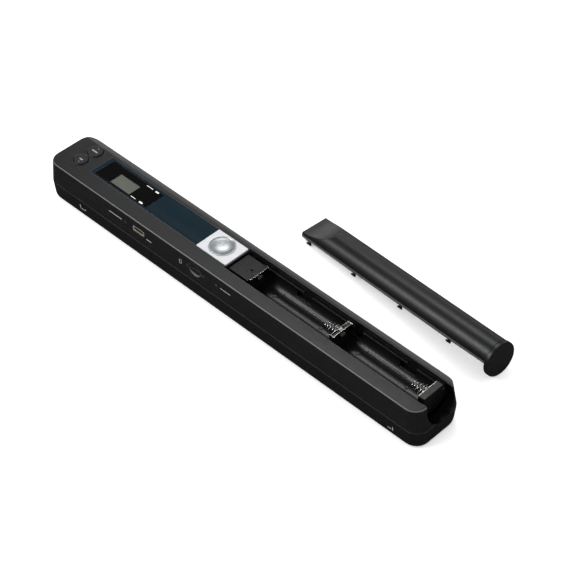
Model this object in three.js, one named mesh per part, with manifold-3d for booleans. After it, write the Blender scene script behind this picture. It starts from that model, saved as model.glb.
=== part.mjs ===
// A handheld document scanner: a long wand that is drawn over a page, with its battery cover taken off.
// Millimetres. X runs along the wand from the display to the battery end, Y from the front side, where the
// sockets are, to the back side, and Z up. The origin is the middle of the underside.

import * as THREE from 'three';
import { mergeVertices } from 'three/addons/utils/BufferGeometryUtils.js';
import Module from 'manifold-3d';

// Clearances and steps shared by all pieces

const seatGap = 0.3;
const inlayGap = 0.15;
const slideGap = 0.2;
const cutOver = 2;
const cornerSteps = 6;
const roundSides = 32;
const smallSides = 20;
const mergeDistance = 1e-4;

// Driving dimensions

const casing = {
  length: 257,
  width: 30.9,
  railTop: 23.56,
  partingHeight: 10.6,
  seam: 0.3,
  wall: 1.7,
  roof: 1.6,
  floor: 1.5,
  planCorner: 7,
  undersideInset: 2.3,
  undersideEndInset: 1.9,
  bendHeight: 3.8,
  bendInset: 0.45,
  shoulderInset: 0.65,
  leftTopLean: 0.8,
  rightTopLean: 2.6,
  topFillet: 0.8,
  backBevelWidth: 3.5,
  backBevelDrop: 1.5,
};

const channel = {
  centre: 1.6,
  halfWidth: 9.1,
  left: -4.9,
  right: 122.7,
  flange: 1.2,
};

const strip = {
  left: -104,
  width: 15.3,
  centre: 1.75,
  thickness: 1,
};

const lens = {
  left: -101.5,
  length: 37.7,
  width: 13,
  centre: 1.6,
  thickness: 0.95,
};

const lcd = {
  centreX: -84.15,
  centreY: 0.05,
  viewLength: 14.1,
  viewWidth: 7.7,
  sink: 0.2,
  rim: 2.6,
  baseThickness: 1.2,
};

const statusLight = {
  length: 2.3,
  width: 0.9,
  places: [[-67.85, 7], [-68.1, -3.95]],
};

const keyPlate = {
  length: 20.5,
  width: 15.85,
  centreX: -15.35,
  centreY: 1.82,
  thickness: 1.05,
  proud: 0.05,
  cornerRadius: 0.5,
};

const scanKey = {
  centreX: -15.7,
  centreY: 2.2,
  radius: 6.3,
  ringGap: 0.4,
  edgeRise: 0.35,
  domeRise: 1,
  flange: 0.9,
  flangeThickness: 0.8,
  stemRadius: 1.6,
};

const topKey = {
  rise: 0.5,
  edge: 0.35,
  ringGap: 0.25,
  flange: 0.8,
  flangeThickness: 0.4,
  stemRadius: 1.2,
};

// Places along the wand from its left end, and across it from the middle of the display strip
const topKeys = [
  { name: 'mode_button', dome: 'mode_snap_dome', fromLeftEnd: 13.8, aside: -4.75, radius: 4.1 },
  { name: 'power_button', dome: 'power_snap_dome', fromLeftEnd: 14.5, aside: 4.45, radius: 4.4 },
].map((key) => ({ ...key, x: key.fromLeftEnd - casing.length / 2, y: strip.centre + key.aside }));

const keyTravel = 0.4;
const stemClear = 0.1;

const snapDome = {
  radius: 2.2,
  height: 0.5,
  shoulderShare: 0.8,
  shoulderRiseShare: 0.6,
  crownShare: 0.4,
};

const board = {
  fromLeftEnd: 6,
  beforeChannel: 4.6,
  thickness: 0.8,
  edgeClear: 0.5,
  tabReach: 11.5,
  tabWidth: 3.4,
};

const usb = {
  centreX: -58.15,
  width: 7.9,
  height: 2.8,
  depth: 8.4,
  sheet: 0.4,
  sink: 0.2,
  tongueWidth: 4.6,
  tongueHeight: 0.9,
  tongueLength: 6.2,
};

const cardSlot = {
  centreX: -16.9,
  width: 12,
  height: 1.1,
  socketDepth: 13,
  socketHeight: 1.8,
  socketMargin: 0.6,
  sheet: 0.35,
  scoopX: -17.4,
  scoopHalfWidth: 4.2,
  scoopDrop: 3.8,
  scoopDepth: 1.1,
};

const pinKey = {
  holeRadius: 0.6,
  radius: 0.85,
  length: 1.1,
  travel: 0.3,
  bodyWidth: 4,
  bodyDepth: 2.2,
  drop: 1,
  places: [
    { name: 'clock_set_key', body: 'clock_set_switch', x: -67.7 },
    { name: 'card_format_key', body: 'card_format_switch', x: -2.25 },
  ],
};

const casingScrew = {
  headRadius: 1.8,
  headHeight: 1.4,
  shankRadius: 0.75,
  length: 12,
  wallAround: 1.45,
  sink: 0.6,
  fromLeftEnd: 6.2,
  endPairPitch: 18,
  beforeChannel: 4.1,
  fromBack: 4.75,
  fromRightEnd: 9,
  fromFront: 5.15,
};

const boardScrew = {
  headRadius: 1.4,
  headHeight: 0.8,
  shankRadius: 0.6,
  length: 3.1,
  wallAround: 1.2,
  fromSide: 5.15,
  beforeStrip: 3,
  pastPlate: 5.4,
  beforePlate: 22.4,
};

const tray = {
  cellRadius: 7.7,
  skin: 1.1,
  axisHeight: 20.1,
  ledgeHeight: 20.3,
  left: -4.6,
  firstWall: 9,
  firstWallThickness: 1.5,
  bayLength: 53.45,
  dividerThickness: 1.3,
  endBlockLength: 3.45,
  endBlockHalfWidth: 6.45,
  endBlockTop: 23.8,
  wallHalfWidth: 5.9,
  wallTop: 23,
  platformLeft: -3.6,
  platformHalfWidth: 6.65,
  platformTop: 22.1,
  platformRoof: 1.2,
  latchHoleX: 5.5,
  latchHoleRadius: 0.65,
  grooveAngle: 38,
  grooveWidth: 1,
  grooveDepth: 0.3,
  grooveFromLeft: 12.3,
  grooveFromRight: 16.7,
  padAngle: 11.5,
  padRadius: 0.9,
  padRise: 0.25,
  padFromLeft: 8.7,
  padFromRight: 13.8,
};

const notch = {
  left: 5,
  right: 4.4,
  lip: 0.9,
  drop: 4.1,
  reach: 1,
};

const contact = {
  sheet: 0.4,
  halfWidth: 5.95,
  top: 23.5,
  ear: 1.1,
  bridgeWidth: 2,
  nubRadius: 2.2,
  nubHeight: 1.4,
  nubTipShare: 0.8,
};

const spring = {
  wireRadius: 0.4,
  baseRadius: 3.2,
  tipRadius: 2.2,
  curls: 4,
  pitch: 1.45,
  stepsPerCurl: 8,
  wireSides: 5,
};

const sensor = {
  endInset: 15,
  width: 10.6,
  height: 5.5,
  centreY: -6,
  glassInset: 2.3,
  glassWidth: 8,
  glassThickness: 1,
  glassSink: 0.4,
  scanInset: 5,
  lensWidth: 2,
  lensOffset: -0.6,
  lensHeight: 4.2,
  guideWidth: 1.6,
  guideOffset: 2.6,
  guideHeight: 2.2,
  boardThickness: 0.8,
  boardInset: 0.3,
};

const ribbon = {
  centreX: -88,
  width: 20,
  thickness: 0.3,
  swing: 2.2,
  socketMargin: 1,
  socketDepth: 4.6,
  socketHeight: 1.3,
  steps: 10,
};

const roller = {
  radius: 4.4,
  length: 18,
  endInset: 31.5,
  centreY: 6.2,
  floorClear: 0.1,
  edge: 0.4,
  shaftRadius: 1.5,
  shaftInset: 15.5,
  windowMargin: 0.5,
};

const bush = {
  thickness: 4,
  width: 6,
  runningGap: 0.09,
  wallAbove: 1.4,
};

const encoder = {
  centreX: -83.4,
  thickness: 1.2,
  radius: 2.7,
  slots: 12,
  slotDepth: 0.7,
  slotWidth: 0.5,
  sensorLength: 5,
  sensorReach: 3.6,
  sensorHeight: 5.4,
  slotGap: 0.35,
};

const cover = {
  length: 131.5,
  radius: 8.7,
  shell: 1,
  axisHeight: 19.9,
  discAxisHeight: 19.25,
  discRadius: 9.4,
  discThickness: 2.3,
  discEdge: 0.3,
  recessGap: 0.2,
  rampEndHeight: 2.9,
  rampRadius: 39,
  hookFromDisc: 26,
  hookPitch: 33.3,
  hookCount: 4,
  hookWidth: 1.7,
  hookToe: 1.4,
  hookToeHeight: 0.9,
  hookDrop: 2.6,
  hookThickness: 0.85,
  skirt: 0.9,
};

// Where the loose cover lies beside the wand, on the same surface: the middle of its disc's outer face

const coverRest = {
  x: 122.86,
  y: 49.2,
  turn: -4.37,
};

// Colours

const finishes = {
  casingTop: { color: 0x3b3c40, roughness: 0.5, metalness: 0.15 },
  casingBottom: { color: 0x1f2022, roughness: 0.55, metalness: 0.05 },
  tray: { color: 0x0c0c0d, roughness: 0.2, metalness: 0 },
  cover: { color: 0x1d1e20, roughness: 0.3, metalness: 0.05 },
  navy: { color: 0x1c2a36, roughness: 0.2, metalness: 0.1 },
  gloss: { color: 0x060606, roughness: 0.08, metalness: 0 },
  liquidCrystal: { color: 0x676b61, roughness: 0.3, metalness: 0 },
  silver: { color: 0xd9dcde, roughness: 0.25, metalness: 0.7 },
  chrome: { color: 0xe6e6e6, roughness: 0.15, metalness: 1 },
  spring: { color: 0xd8d8d4, roughness: 0.2, metalness: 1 },
  keyPlastic: { color: 0x2b2c2f, roughness: 0.45, metalness: 0.05 },
  boardGreen: { color: 0x14401f, roughness: 0.5, metalness: 0 },
  black: { color: 0x0e0e0f, roughness: 0.5, metalness: 0 },
  white: { color: 0xe8e8e4, roughness: 0.4, metalness: 0 },
  glass: { color: 0x9fb2b8, roughness: 0.05, metalness: 0 },
  acrylic: { color: 0xcfe0e4, roughness: 0.1, metalness: 0 },
  steel: { color: 0x9a9c9e, roughness: 0.35, metalness: 1 },
  rubber: { color: 0x17171a, roughness: 0.85, metalness: 0 },
  bushing: { color: 0xc9c7bd, roughness: 0.5, metalness: 0 },
  ribbonFilm: { color: 0xd6d3c4, roughness: 0.45, metalness: 0 },
};

// Closed solids from three.js geometry, and back

const wasm = await Module();
wasm.setup();

function solidFrom(geometry) {
  const bare = geometry.clone();
  bare.deleteAttribute('normal');
  bare.deleteAttribute('uv');
  const merged = mergeVertices(bare, mergeDistance);
  const vertProperties = new Float32Array(merged.attributes.position.array);
  const triVerts = new Uint32Array(merged.index.array);
  return new wasm.Manifold(new wasm.Mesh({ numProp: 3, vertProperties, triVerts }));
}

function geometryFrom(solid) {
  const { vertProperties, triVerts } = solid.getMesh();
  const geometry = new THREE.BufferGeometry();
  geometry.setAttribute('position', new THREE.BufferAttribute(vertProperties, 3));
  geometry.setIndex(new THREE.BufferAttribute(triVerts, 1));
  geometry.computeVertexNormals();
  return geometry;
}

function span(centre, size) {
  return [centre - size / 2, centre + size / 2];
}

function box(x, y, z) {
  const geometry = new THREE.BoxGeometry(x[1] - x[0], y[1] - y[0], z[1] - z[0]);
  geometry.translate((x[0] + x[1]) / 2, (y[0] + y[1]) / 2, (z[0] + z[1]) / 2);
  return solidFrom(geometry);
}

function lathe(profile, sides = roundSides) {
  const points = profile.map(([radius, height]) => new THREE.Vector2(radius, height));
  const geometry = new THREE.LatheGeometry(points, sides);
  geometry.rotateX(Math.PI / 2);
  return solidFrom(geometry);
}

function uprightRod(x, y, radius, z, sides = smallSides) {
  const geometry = new THREE.CylinderGeometry(radius, radius, z[1] - z[0], sides);
  geometry.rotateX(Math.PI / 2);
  geometry.translate(x, y, (z[0] + z[1]) / 2);
  return solidFrom(geometry);
}

function lengthwiseRod(y, z, radius, x, sides = smallSides) {
  const geometry = new THREE.CylinderGeometry(radius, radius, x[1] - x[0], sides);
  geometry.rotateZ(-Math.PI / 2);
  geometry.translate((x[0] + x[1]) / 2, y, z);
  return solidFrom(geometry);
}

function crosswiseRod(x, z, radius, y, sides = smallSides) {
  const geometry = new THREE.CylinderGeometry(radius, radius, y[1] - y[0], sides);
  geometry.translate(x, (y[0] + y[1]) / 2, z);
  return solidFrom(geometry);
}

// A section drawn in Y and Z, drawn out along X
function lengthwisePrism(shape, x, curveSegments = roundSides) {
  const geometry = new THREE.ExtrudeGeometry(shape, { depth: x[1] - x[0], bevelEnabled: false, curveSegments });
  const turn = new THREE.Matrix4().makeBasis(
    new THREE.Vector3(0, 1, 0),
    new THREE.Vector3(0, 0, 1),
    new THREE.Vector3(1, 0, 0),
  );
  geometry.applyMatrix4(turn);
  geometry.translate(x[0], 0, 0);
  return solidFrom(geometry);
}

function joined(solids) {
  return solids.reduce((sum, solid) => sum.add(solid));
}

function without(solid, cuts) {
  return cuts.reduce((rest, cut) => rest.subtract(cut), solid);
}

const scanner = new THREE.Group();

function addPiece(name, solid, finish) {
  const mesh = new THREE.Mesh(geometryFrom(solid), new THREE.MeshStandardMaterial(finish));
  mesh.name = name;
  scanner.add(mesh);
  return mesh;
}

// Heights and places that several pieces share

const roofUnder = casing.railTop - casing.roof;
const pocketDepth = strip.thickness + inlayGap;
const pocketFloor = casing.railTop - pocketDepth;
const domeTop = roofUnder - topKey.flangeThickness - 2 * slideGap - keyTravel - 2 * stemClear;
const boardTop = domeTop - snapDome.height - inlayGap / 2;
const boardUnder = boardTop - board.thickness;
const socketTop = boardUnder - inlayGap / 2;
const floorTop = casing.floor;
const upperFoot = casing.partingHeight + casing.seam / 2;
const lowerTop = casing.partingHeight - casing.seam / 2;
const bayOne = [tray.firstWall + tray.firstWallThickness, tray.firstWall + tray.firstWallThickness + tray.bayLength];
const bayTwo = [bayOne[1] + tray.dividerThickness, bayOne[1] + tray.dividerThickness + tray.bayLength];
const trayRight = bayTwo[1] + tray.endBlockLength;
const trayHalfWidth = tray.cellRadius + tray.skin;
const coverDiscFace = channel.left + cover.length;
const coverRim = tray.ledgeHeight + inlayGap;
const rollerAxis = roller.radius + roller.floorClear;
const sensorFoot = floorTop + slideGap;
const sensorTop = sensorFoot + sensor.height;
const sensorLength = casing.length - 2 * sensor.endInset;
const scanLength = sensorLength - 2 * sensor.scanInset;
const glassLength = sensorLength - 2 * sensor.glassInset;
const shaftLength = casing.length - 2 * roller.shaftInset;
const rollerX = casing.length / 2 - roller.endInset;
const plateLeft = keyPlate.centreX - keyPlate.length / 2;
const stripRight = plateLeft - inlayGap;
const leftEnd = -casing.length / 2;
const rightEnd = casing.length / 2;
const frontSide = -casing.width / 2;
const backSide = casing.width / 2;

const casingScrewPlaces = [
  [leftEnd + casingScrew.fromLeftEnd, -casingScrew.endPairPitch / 2],
  [leftEnd + casingScrew.fromLeftEnd, casingScrew.endPairPitch / 2],
  [channel.left - casingScrew.beforeChannel, backSide - casingScrew.fromBack],
  [rightEnd - casingScrew.fromRightEnd, frontSide + casingScrew.fromFront],
];

const boardScrewPlaces = [
  [strip.left - boardScrew.beforeStrip, frontSide + boardScrew.fromSide],
  [plateLeft - boardScrew.beforePlate, backSide - boardScrew.fromSide],
  [plateLeft - boardScrew.pastPlate, frontSide + boardScrew.fromSide],
];

// The casing's outline at a height: how far each side stands in from the widest line at the parting
function casingInsets(z) {
  const { bendHeight, bendInset, undersideInset, undersideEndInset, partingHeight, railTop } = casing;
  if (z <= bendHeight) {
    const rise = Math.sqrt(Math.max(0, 1 - ((bendHeight - z) / bendHeight) ** 2));
    const side = undersideInset + (bendInset - undersideInset) * rise;
    const end = undersideEndInset + (bendInset - undersideEndInset) * rise;
    return { side, left: end, right: end };
  }
  if (z <= partingHeight) {
    const inset = bendInset * (partingHeight - z) / (partingHeight - bendHeight);
    return { side: inset, left: inset, right: inset };
  }
  const share = (z - partingHeight) / (railTop - partingHeight);
  return {
    side: casing.shoulderInset * share,
    left: casing.leftTopLean * share,
    right: casing.rightTopLean * share,
  };
}

function filletInset(z, radius) {
  const above = z - (casing.railTop - radius);
  return above <= 0 ? 0 : radius - Math.sqrt(Math.max(0, radius * radius - above * above));
}

function casingRing(z, wall) {
  const insets = casingInsets(z);
  const fillet = wall === 0 ? filletInset(z, casing.topFillet) : 0;
  return {
    z,
    left: -casing.length / 2 + insets.left + wall + fillet,
    right: casing.length / 2 - insets.right - wall - fillet,
    front: -casing.width / 2 + insets.side + wall + fillet,
    back: casing.width / 2 - insets.side - wall - fillet,
    corner: casing.planCorner - wall - fillet,
  };
}

function ringPoints({ z, left, right, front, back, corner }) {
  const centres = [
    [right - corner, back - corner],
    [left + corner, back - corner],
    [left + corner, front + corner],
    [right - corner, front + corner],
  ];
  return centres.flatMap(([x, y], quarter) => {
    const arc = [];
    for (let step = 0; step <= cornerSteps; step += 1) {
      const angle = (quarter + step / cornerSteps) * Math.PI / 2;
      arc.push([x + corner * Math.cos(angle), y + corner * Math.sin(angle), z]);
    }
    return arc;
  });
}

// A closed skin over a stack of rings, each with the same number of points
function loft(rings) {
  const rows = rings.map(ringPoints);
  const count = rows[0].length;
  const positions = rows.flat(2);
  const triangles = [];
  for (let row = 0; row + 1 < rows.length; row += 1) {
    for (let step = 0; step < count; step += 1) {
      const here = row * count + step;
      const next = row * count + (step + 1) % count;
      triangles.push(here, next, next + count, here, next + count, here + count);
    }
  }
  const addCap = (row, facesUp) => {
    const ring = rings[row];
    const middle = positions.length / 3;
    positions.push((ring.left + ring.right) / 2, (ring.front + ring.back) / 2, ring.z);
    for (let step = 0; step < count; step += 1) {
      const here = row * count + step;
      const next = row * count + (step + 1) % count;
      triangles.push(middle, facesUp ? here : next, facesUp ? next : here);
    }
  };
  addCap(0, false);
  addCap(rows.length - 1, true);
  const geometry = new THREE.BufferGeometry();
  geometry.setAttribute('position', new THREE.Float32BufferAttribute(positions, 3));
  geometry.setIndex(triangles);
  return solidFrom(geometry);
}

function casingLoft(heights, wall) {
  return loft(heights.map((z) => casingRing(z, wall)));
}

// The front face of the casing's side wall at a height
function frontFace(z) {
  return casingRing(z, 0).front;
}

// Sections

function roundedRectangle(x, y, radius) {
  const shape = new THREE.Shape();
  shape.moveTo(x[0] + radius, y[0]);
  shape.lineTo(x[1] - radius, y[0]);
  shape.absarc(x[1] - radius, y[0] + radius, radius, -Math.PI / 2, 0, false);
  shape.lineTo(x[1], y[1] - radius);
  shape.absarc(x[1] - radius, y[1] - radius, radius, 0, Math.PI / 2, false);
  shape.lineTo(x[0] + radius, y[1]);
  shape.absarc(x[0] + radius, y[1] - radius, radius, Math.PI / 2, Math.PI, false);
  shape.lineTo(x[0], y[0] + radius);
  shape.absarc(x[0] + radius, y[0] + radius, radius, Math.PI, Math.PI * 3 / 2, false);
  return shape;
}

function uprightPrism(shape, z, curveSegments = cornerSteps) {
  const geometry = new THREE.ExtrudeGeometry(shape, { depth: z[1] - z[0], bevelEnabled: false, curveSegments });
  geometry.translate(0, 0, z[0]);
  return solidFrom(geometry);
}

// A trough section: a half round of the given radius with straight sides up to a height
function troughSection(radius, top) {
  const shape = new THREE.Shape();
  shape.moveTo(channel.centre - radius, top);
  shape.lineTo(channel.centre - radius, tray.axisHeight);
  shape.absarc(channel.centre, tray.axisHeight, radius, Math.PI, 2 * Math.PI, false);
  shape.lineTo(channel.centre + radius, top);
  shape.closePath();
  return shape;
}

// Upper casing

function recessRound(radius, x) {
  return lengthwiseRod(channel.centre, cover.discAxisHeight, radius, x, 2 * roundSides);
}

function inletHeights() {
  return {
    usb: socketTop - usb.height / 2,
    card: socketTop - cardSlot.socketHeight / 2,
    pin: socketTop - pinKey.drop,
  };
}

// All that lies above the long bevel along the back edge of the top, at a depth below it
function aboveBackBevel(depth) {
  const edge = casing.width / 2 - casing.shoulderInset;
  const crease = edge - casing.backBevelWidth;
  const outside = edge + cutOver;
  const slope = casing.backBevelDrop / casing.backBevelWidth;
  const shape = new THREE.Shape();
  shape.moveTo(crease, casing.railTop - depth);
  shape.lineTo(outside, casing.railTop - depth - slope * (outside - crease));
  shape.lineTo(outside, casing.railTop + cutOver);
  shape.lineTo(crease, casing.railTop + cutOver);
  shape.closePath();
  return lengthwisePrism(shape, [-casing.length, casing.length]);
}

function upperCasing() {
  const { railTop, topFillet, wall, roof } = casing;
  const filletStart = railTop - topFillet;
  const outerHeights = [
    upperFoot,
    filletStart,
    filletStart + topFillet * Math.sin(Math.PI / 6),
    filletStart + topFillet * Math.sin(Math.PI / 3),
    railTop,
  ];
  const outer = casingLoft(outerHeights, 0).subtract(aboveBackBevel(0));
  const innerBlock = casingLoft([upperFoot - cutOver, casing.partingHeight, roofUnder], wall);
  const inner = innerBlock.subtract(aboveBackBevel(roof));
  const allWidths = [-casing.width, casing.width];
  const innerHeights = [upperFoot - 2 * cutOver, roofUnder + cutOver];
  const bulkhead = channel.left - wall;
  const leftRoom = inner.intersect(box([-casing.length, bulkhead], allWidths, innerHeights));
  const flangeFace = channel.centre - channel.halfWidth - channel.flange;
  const railRoom = inner.intersect(
    box([bulkhead - cutOver, channel.right - cutOver], [-casing.width, flangeFace], innerHeights),
  );
  const throughHeights = [upperFoot - cutOver, railTop + cutOver];
  const channelCut = box(
    [channel.left, channel.right],
    span(channel.centre, 2 * channel.halfWidth),
    throughHeights,
  );
  const discCut = recessRound(cover.discRadius + cover.recessGap, [channel.right - cutOver / 2, casing.length]);
  const discCutAbove = box(
    [channel.right - cutOver / 2, casing.length],
    span(channel.centre, 2 * Math.sqrt(
      (cover.discRadius + cover.recessGap) ** 2 - (railTop - cover.discAxisHeight) ** 2,
    )),
    [railTop - topFillet, railTop + cutOver],
  );
  const bossTop = roofUnder + roof / 3;
  const bossSolids = casingScrewPlaces.map(([x, y]) => uprightRod(
    x, y, casingScrew.shankRadius + casingScrew.wallAround, [upperFoot, bossTop],
  ).intersect(outer));
  const boardBosses = boardScrewPlaces.map(([x, y]) => uprightRod(
    x, y, boardScrew.shankRadius + boardScrew.wallAround, [boardTop + inlayGap / 2, bossTop],
  ).intersect(outer));
  const shell = without(outer, [leftRoom, railRoom]);
  const withBosses = joined([shell, ...bossSolids, ...boardBosses]);
  return without(withBosses, [
    channelCut,
    discCut,
    discCutAbove,
    ...displayCuts(),
    ...keyCuts(),
    ...inletCuts(),
    ...upperScrewHoles(),
  ]);
}

function displayCuts() {
  const pocket = box(
    [strip.left - inlayGap, stripRight + inlayGap],
    span(strip.centre, strip.width + 2 * inlayGap),
    [pocketFloor, casing.railTop + cutOver],
  );
  const viewHole = box(
    span(lcd.centreX, lcd.viewLength + 2 * inlayGap),
    span(lcd.centreY, lcd.viewWidth + 2 * inlayGap),
    [roofUnder - cutOver, casing.railTop + cutOver],
  );
  const lightHoles = statusLight.places.map(([x, y]) => box(
    span(x, statusLight.length + 2 * inlayGap),
    span(y, statusLight.width + 2 * inlayGap),
    [roofUnder - cutOver, casing.railTop + cutOver],
  ));
  return [pocket, viewHole, ...lightHoles];
}

function keyCuts() {
  const heights = [roofUnder - cutOver, casing.railTop + cutOver];
  const platePocket = box(
    [stripRight - inlayGap, channel.left + cutOver],
    span(keyPlate.centreY, keyPlate.width + 2 * inlayGap),
    [pocketFloor, casing.railTop + cutOver],
  );
  const scanHole = uprightRod(
    scanKey.centreX, scanKey.centreY, scanKey.radius + scanKey.flange + seatGap, heights, roundSides,
  );
  const keyHoles = topKeys.map(({ x, y, radius }) => uprightRod(x, y, radius + topKey.ringGap, heights, roundSides));
  return [platePocket, scanHole, ...keyHoles];
}

function inletCuts() {
  const heights = inletHeights();
  const usbFace = frontFace(heights.usb);
  const cardFace = frontFace(heights.card);
  const throughWall = (face) => [face - cutOver, face + casing.wall + cutOver];
  const usbHole = box(
    span(usb.centreX, usb.width + 2 * inlayGap),
    throughWall(usbFace),
    span(heights.usb, usb.height + 2 * inlayGap),
  );
  const cardHole = box(
    span(cardSlot.centreX, cardSlot.width),
    throughWall(cardFace),
    span(heights.card, cardSlot.height),
  );
  const scoop = new THREE.SphereGeometry(1, roundSides, smallSides);
  scoop.scale(cardSlot.scoopHalfWidth, cardSlot.scoopDepth, cardSlot.scoopDrop);
  scoop.translate(cardSlot.scoopX, cardFace, heights.card);
  const pinHoles = pinKey.places.map(({ x }) => crosswiseRod(
    x, heights.pin, pinKey.holeRadius, throughWall(frontFace(heights.pin)),
  ));
  return [usbHole, cardHole, solidFrom(scoop), ...pinHoles];
}

function upperScrewHoles() {
  const casingHoles = casingScrewPlaces.map(([x, y]) => uprightRod(
    x, y, casingScrew.shankRadius + slideGap,
    [upperFoot - cutOver, casingScrew.sink + casingScrew.headHeight + casingScrew.length + seatGap],
  ));
  const boardHoles = boardScrewPlaces.map(([x, y]) => uprightRod(
    x, y, boardScrew.shankRadius + slideGap,
    [boardUnder - cutOver, boardUnder + boardScrew.length + seatGap],
  ));
  return [...casingHoles, ...boardHoles];
}

// Lower casing

function screwSeat() {
  return casingScrew.sink + casingScrew.headHeight;
}

function lowerCasing() {
  const { wall, bendHeight } = casing;
  const bendShares = [0, 0.1, 0.3, 0.6, 1];
  const outer = casingLoft([...bendShares.map((share) => share * bendHeight), lowerTop], 0);
  const innerRings = [floorTop, bendHeight, lowerTop + cutOver].map((z) => ({
    ...casingRing(z, wall),
    right: channel.right,
  }));
  const room = loft(innerRings);
  const bosses = casingScrewPlaces.map(([x, y]) => uprightRod(
    x, y, casingScrew.headRadius + slideGap + casingScrew.wallAround / 2, [floorTop / 2, lowerTop],
  ).intersect(outer));
  const shankHoles = casingScrewPlaces.map(([x, y]) => uprightRod(
    x, y, casingScrew.shankRadius + slideGap, [-cutOver, lowerTop + cutOver],
  ));
  const headHoles = casingScrewPlaces.map(([x, y]) => uprightRod(
    x, y, casingScrew.headRadius + slideGap, [-cutOver, screwSeat() + slideGap],
  ));
  const glassHole = box(
    span(0, glassLength + 2 * seatGap),
    span(sensor.centreY, sensor.glassWidth + 2 * seatGap),
    [-cutOver, floorTop + cutOver],
  );
  const halfChord = Math.sqrt(roller.radius ** 2 - (rollerAxis - floorTop) ** 2);
  const rollerHoles = [-1, 1].map((side) => box(
    span(side * rollerX, roller.length + 2 * roller.windowMargin),
    span(roller.centreY, 2 * halfChord + 2 * roller.windowMargin),
    [-cutOver, floorTop + cutOver],
  ));
  const discCut = recessRound(cover.discRadius + cover.recessGap, [channel.right - cutOver / 2, casing.length]);
  const shell = joined([outer.subtract(room), ...bosses]);
  return without(shell, [glassHole, ...rollerHoles, ...shankHoles, ...headHoles, discCut]);
}

// Battery tray: a trough for two cells end to end, with the platform that the cover's latch lies on

function bayCut(x) {
  return lengthwisePrism(troughSection(tray.cellRadius, contact.top + cutOver), x);
}

// Stands a form that is drawn on the bay's floor line at an angle round the cell's axis
function placedInBay(geometry, angle, x) {
  geometry.translate(0, 0, -tray.cellRadius);
  geometry.rotateX(THREE.MathUtils.degToRad(angle));
  geometry.translate(x, channel.centre, tray.axisHeight);
  return solidFrom(geometry);
}

function bayGroove([from, to]) {
  const ends = [from + tray.grooveFromLeft, to - tray.grooveFromRight];
  const groove = new THREE.BoxGeometry(ends[1] - ends[0], tray.grooveWidth, 2 * tray.grooveDepth);
  return placedInBay(groove, tray.grooveAngle, (ends[0] + ends[1]) / 2);
}

// The round marks that the mould's pins leave in the bay
function bayPads([from, to]) {
  return [from + tray.padFromLeft, to - tray.padFromRight].map((x) => {
    const pad = new THREE.CylinderGeometry(tray.padRadius, tray.padRadius, 2 * tray.padRise, smallSides);
    pad.rotateX(Math.PI / 2);
    return placedInBay(pad, tray.padAngle, x);
  });
}

// The places along X where the closed cover's hooks stand
function closedHookPlaces() {
  const places = [];
  for (let index = 0; index < cover.hookCount; index += 1) {
    places.push(coverDiscFace - cover.hookFromDisc - index * cover.hookPitch);
  }
  return places;
}

function notchCuts() {
  const outerFace = trayHalfWidth + cutOver / 4;
  const innerFace = tray.cellRadius - notch.reach;
  const foot = tray.ledgeHeight - notch.drop;
  return closedHookPlaces().flatMap((x) => [-1, 1].flatMap((side) => {
    const edges = [channel.centre + side * innerFace, channel.centre + side * outerFace];
    const across = [Math.min(...edges), Math.max(...edges)];
    const entry = box(
      [x - cover.hookWidth / 2 - slideGap, x + notch.right],
      across,
      [foot, tray.ledgeHeight + cutOver],
    );
    const undercut = box([x - notch.left, x + notch.right], across, [foot, tray.ledgeHeight - notch.lip]);
    return [entry, undercut];
  }));
}

function batteryTray() {
  const trough = lengthwisePrism(troughSection(trayHalfWidth, tray.ledgeHeight), [tray.left, trayRight]);
  const platform = box(
    [tray.platformLeft, bayOne[0] + inlayGap - contact.ear - slideGap],
    span(channel.centre, 2 * tray.platformHalfWidth),
    [tray.axisHeight, tray.platformTop],
  );
  const wallOf = (x, halfWidth, top) => box(x, span(channel.centre, 2 * halfWidth), [tray.axisHeight, top]);
  const firstWall = wallOf([tray.firstWall, bayOne[0]], tray.wallHalfWidth, tray.wallTop);
  const divider = wallOf([bayOne[1], bayTwo[0]], tray.wallHalfWidth, tray.wallTop);
  const endBlock = wallOf([bayTwo[1], trayRight], tray.endBlockHalfWidth, tray.endBlockTop);
  const tunnelHalfWidth = tray.platformHalfWidth - tray.platformRoof;
  const tunnel = box(
    [tray.left - cutOver, tray.firstWall],
    span(channel.centre, 2 * tunnelHalfWidth),
    [tray.axisHeight - tunnelHalfWidth / 2, tray.platformTop - tray.platformRoof],
  );
  const latchHole = uprightRod(
    tray.latchHoleX, channel.centre, tray.latchHoleRadius, [tray.axisHeight, tray.platformTop + cutOver],
  );
  const solid = joined([trough, platform, firstWall, divider, endBlock]);
  const bays = [bayOne, bayTwo];
  const hollowed = without(solid, bays.map(bayCut));
  const padded = joined([hollowed, ...bays.flatMap(bayPads)]);
  return without(padded, [...bays.map(bayGroove), tunnel, latchHole, ...notchCuts()]);
}

// Battery contacts

// A sheet's lower corners stand just clear of the bay's round wall
function contactSheet(x) {
  const wallBelow = Math.sqrt(tray.cellRadius ** 2 - contact.halfWidth ** 2);
  const foot = tray.axisHeight - wallBelow + seatGap;
  return box(x, span(channel.centre, 2 * contact.halfWidth), [foot, contact.top]);
}

function nub(x) {
  const profile = [
    [0, 0],
    [contact.nubRadius, 0],
    [contact.nubRadius, contact.nubHeight / 2],
    [contact.nubRadius * contact.nubTipShare, contact.nubHeight],
    [0, contact.nubHeight],
  ];
  const points = profile.map(([radius, height]) => new THREE.Vector2(radius, height));
  const geometry = new THREE.LatheGeometry(points, smallSides);
  geometry.rotateZ(-Math.PI / 2);
  geometry.translate(x, channel.centre, tray.axisHeight);
  return solidFrom(geometry);
}

// Two ears folded back from a sheet's edges over the wall that carries it
function ears(x) {
  return [-1, 1].map((side) => box(
    x,
    span(channel.centre + side * (contact.halfWidth + contact.sheet / 2), contact.sheet),
    [tray.ledgeHeight + seatGap, contact.top],
  ));
}

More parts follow.
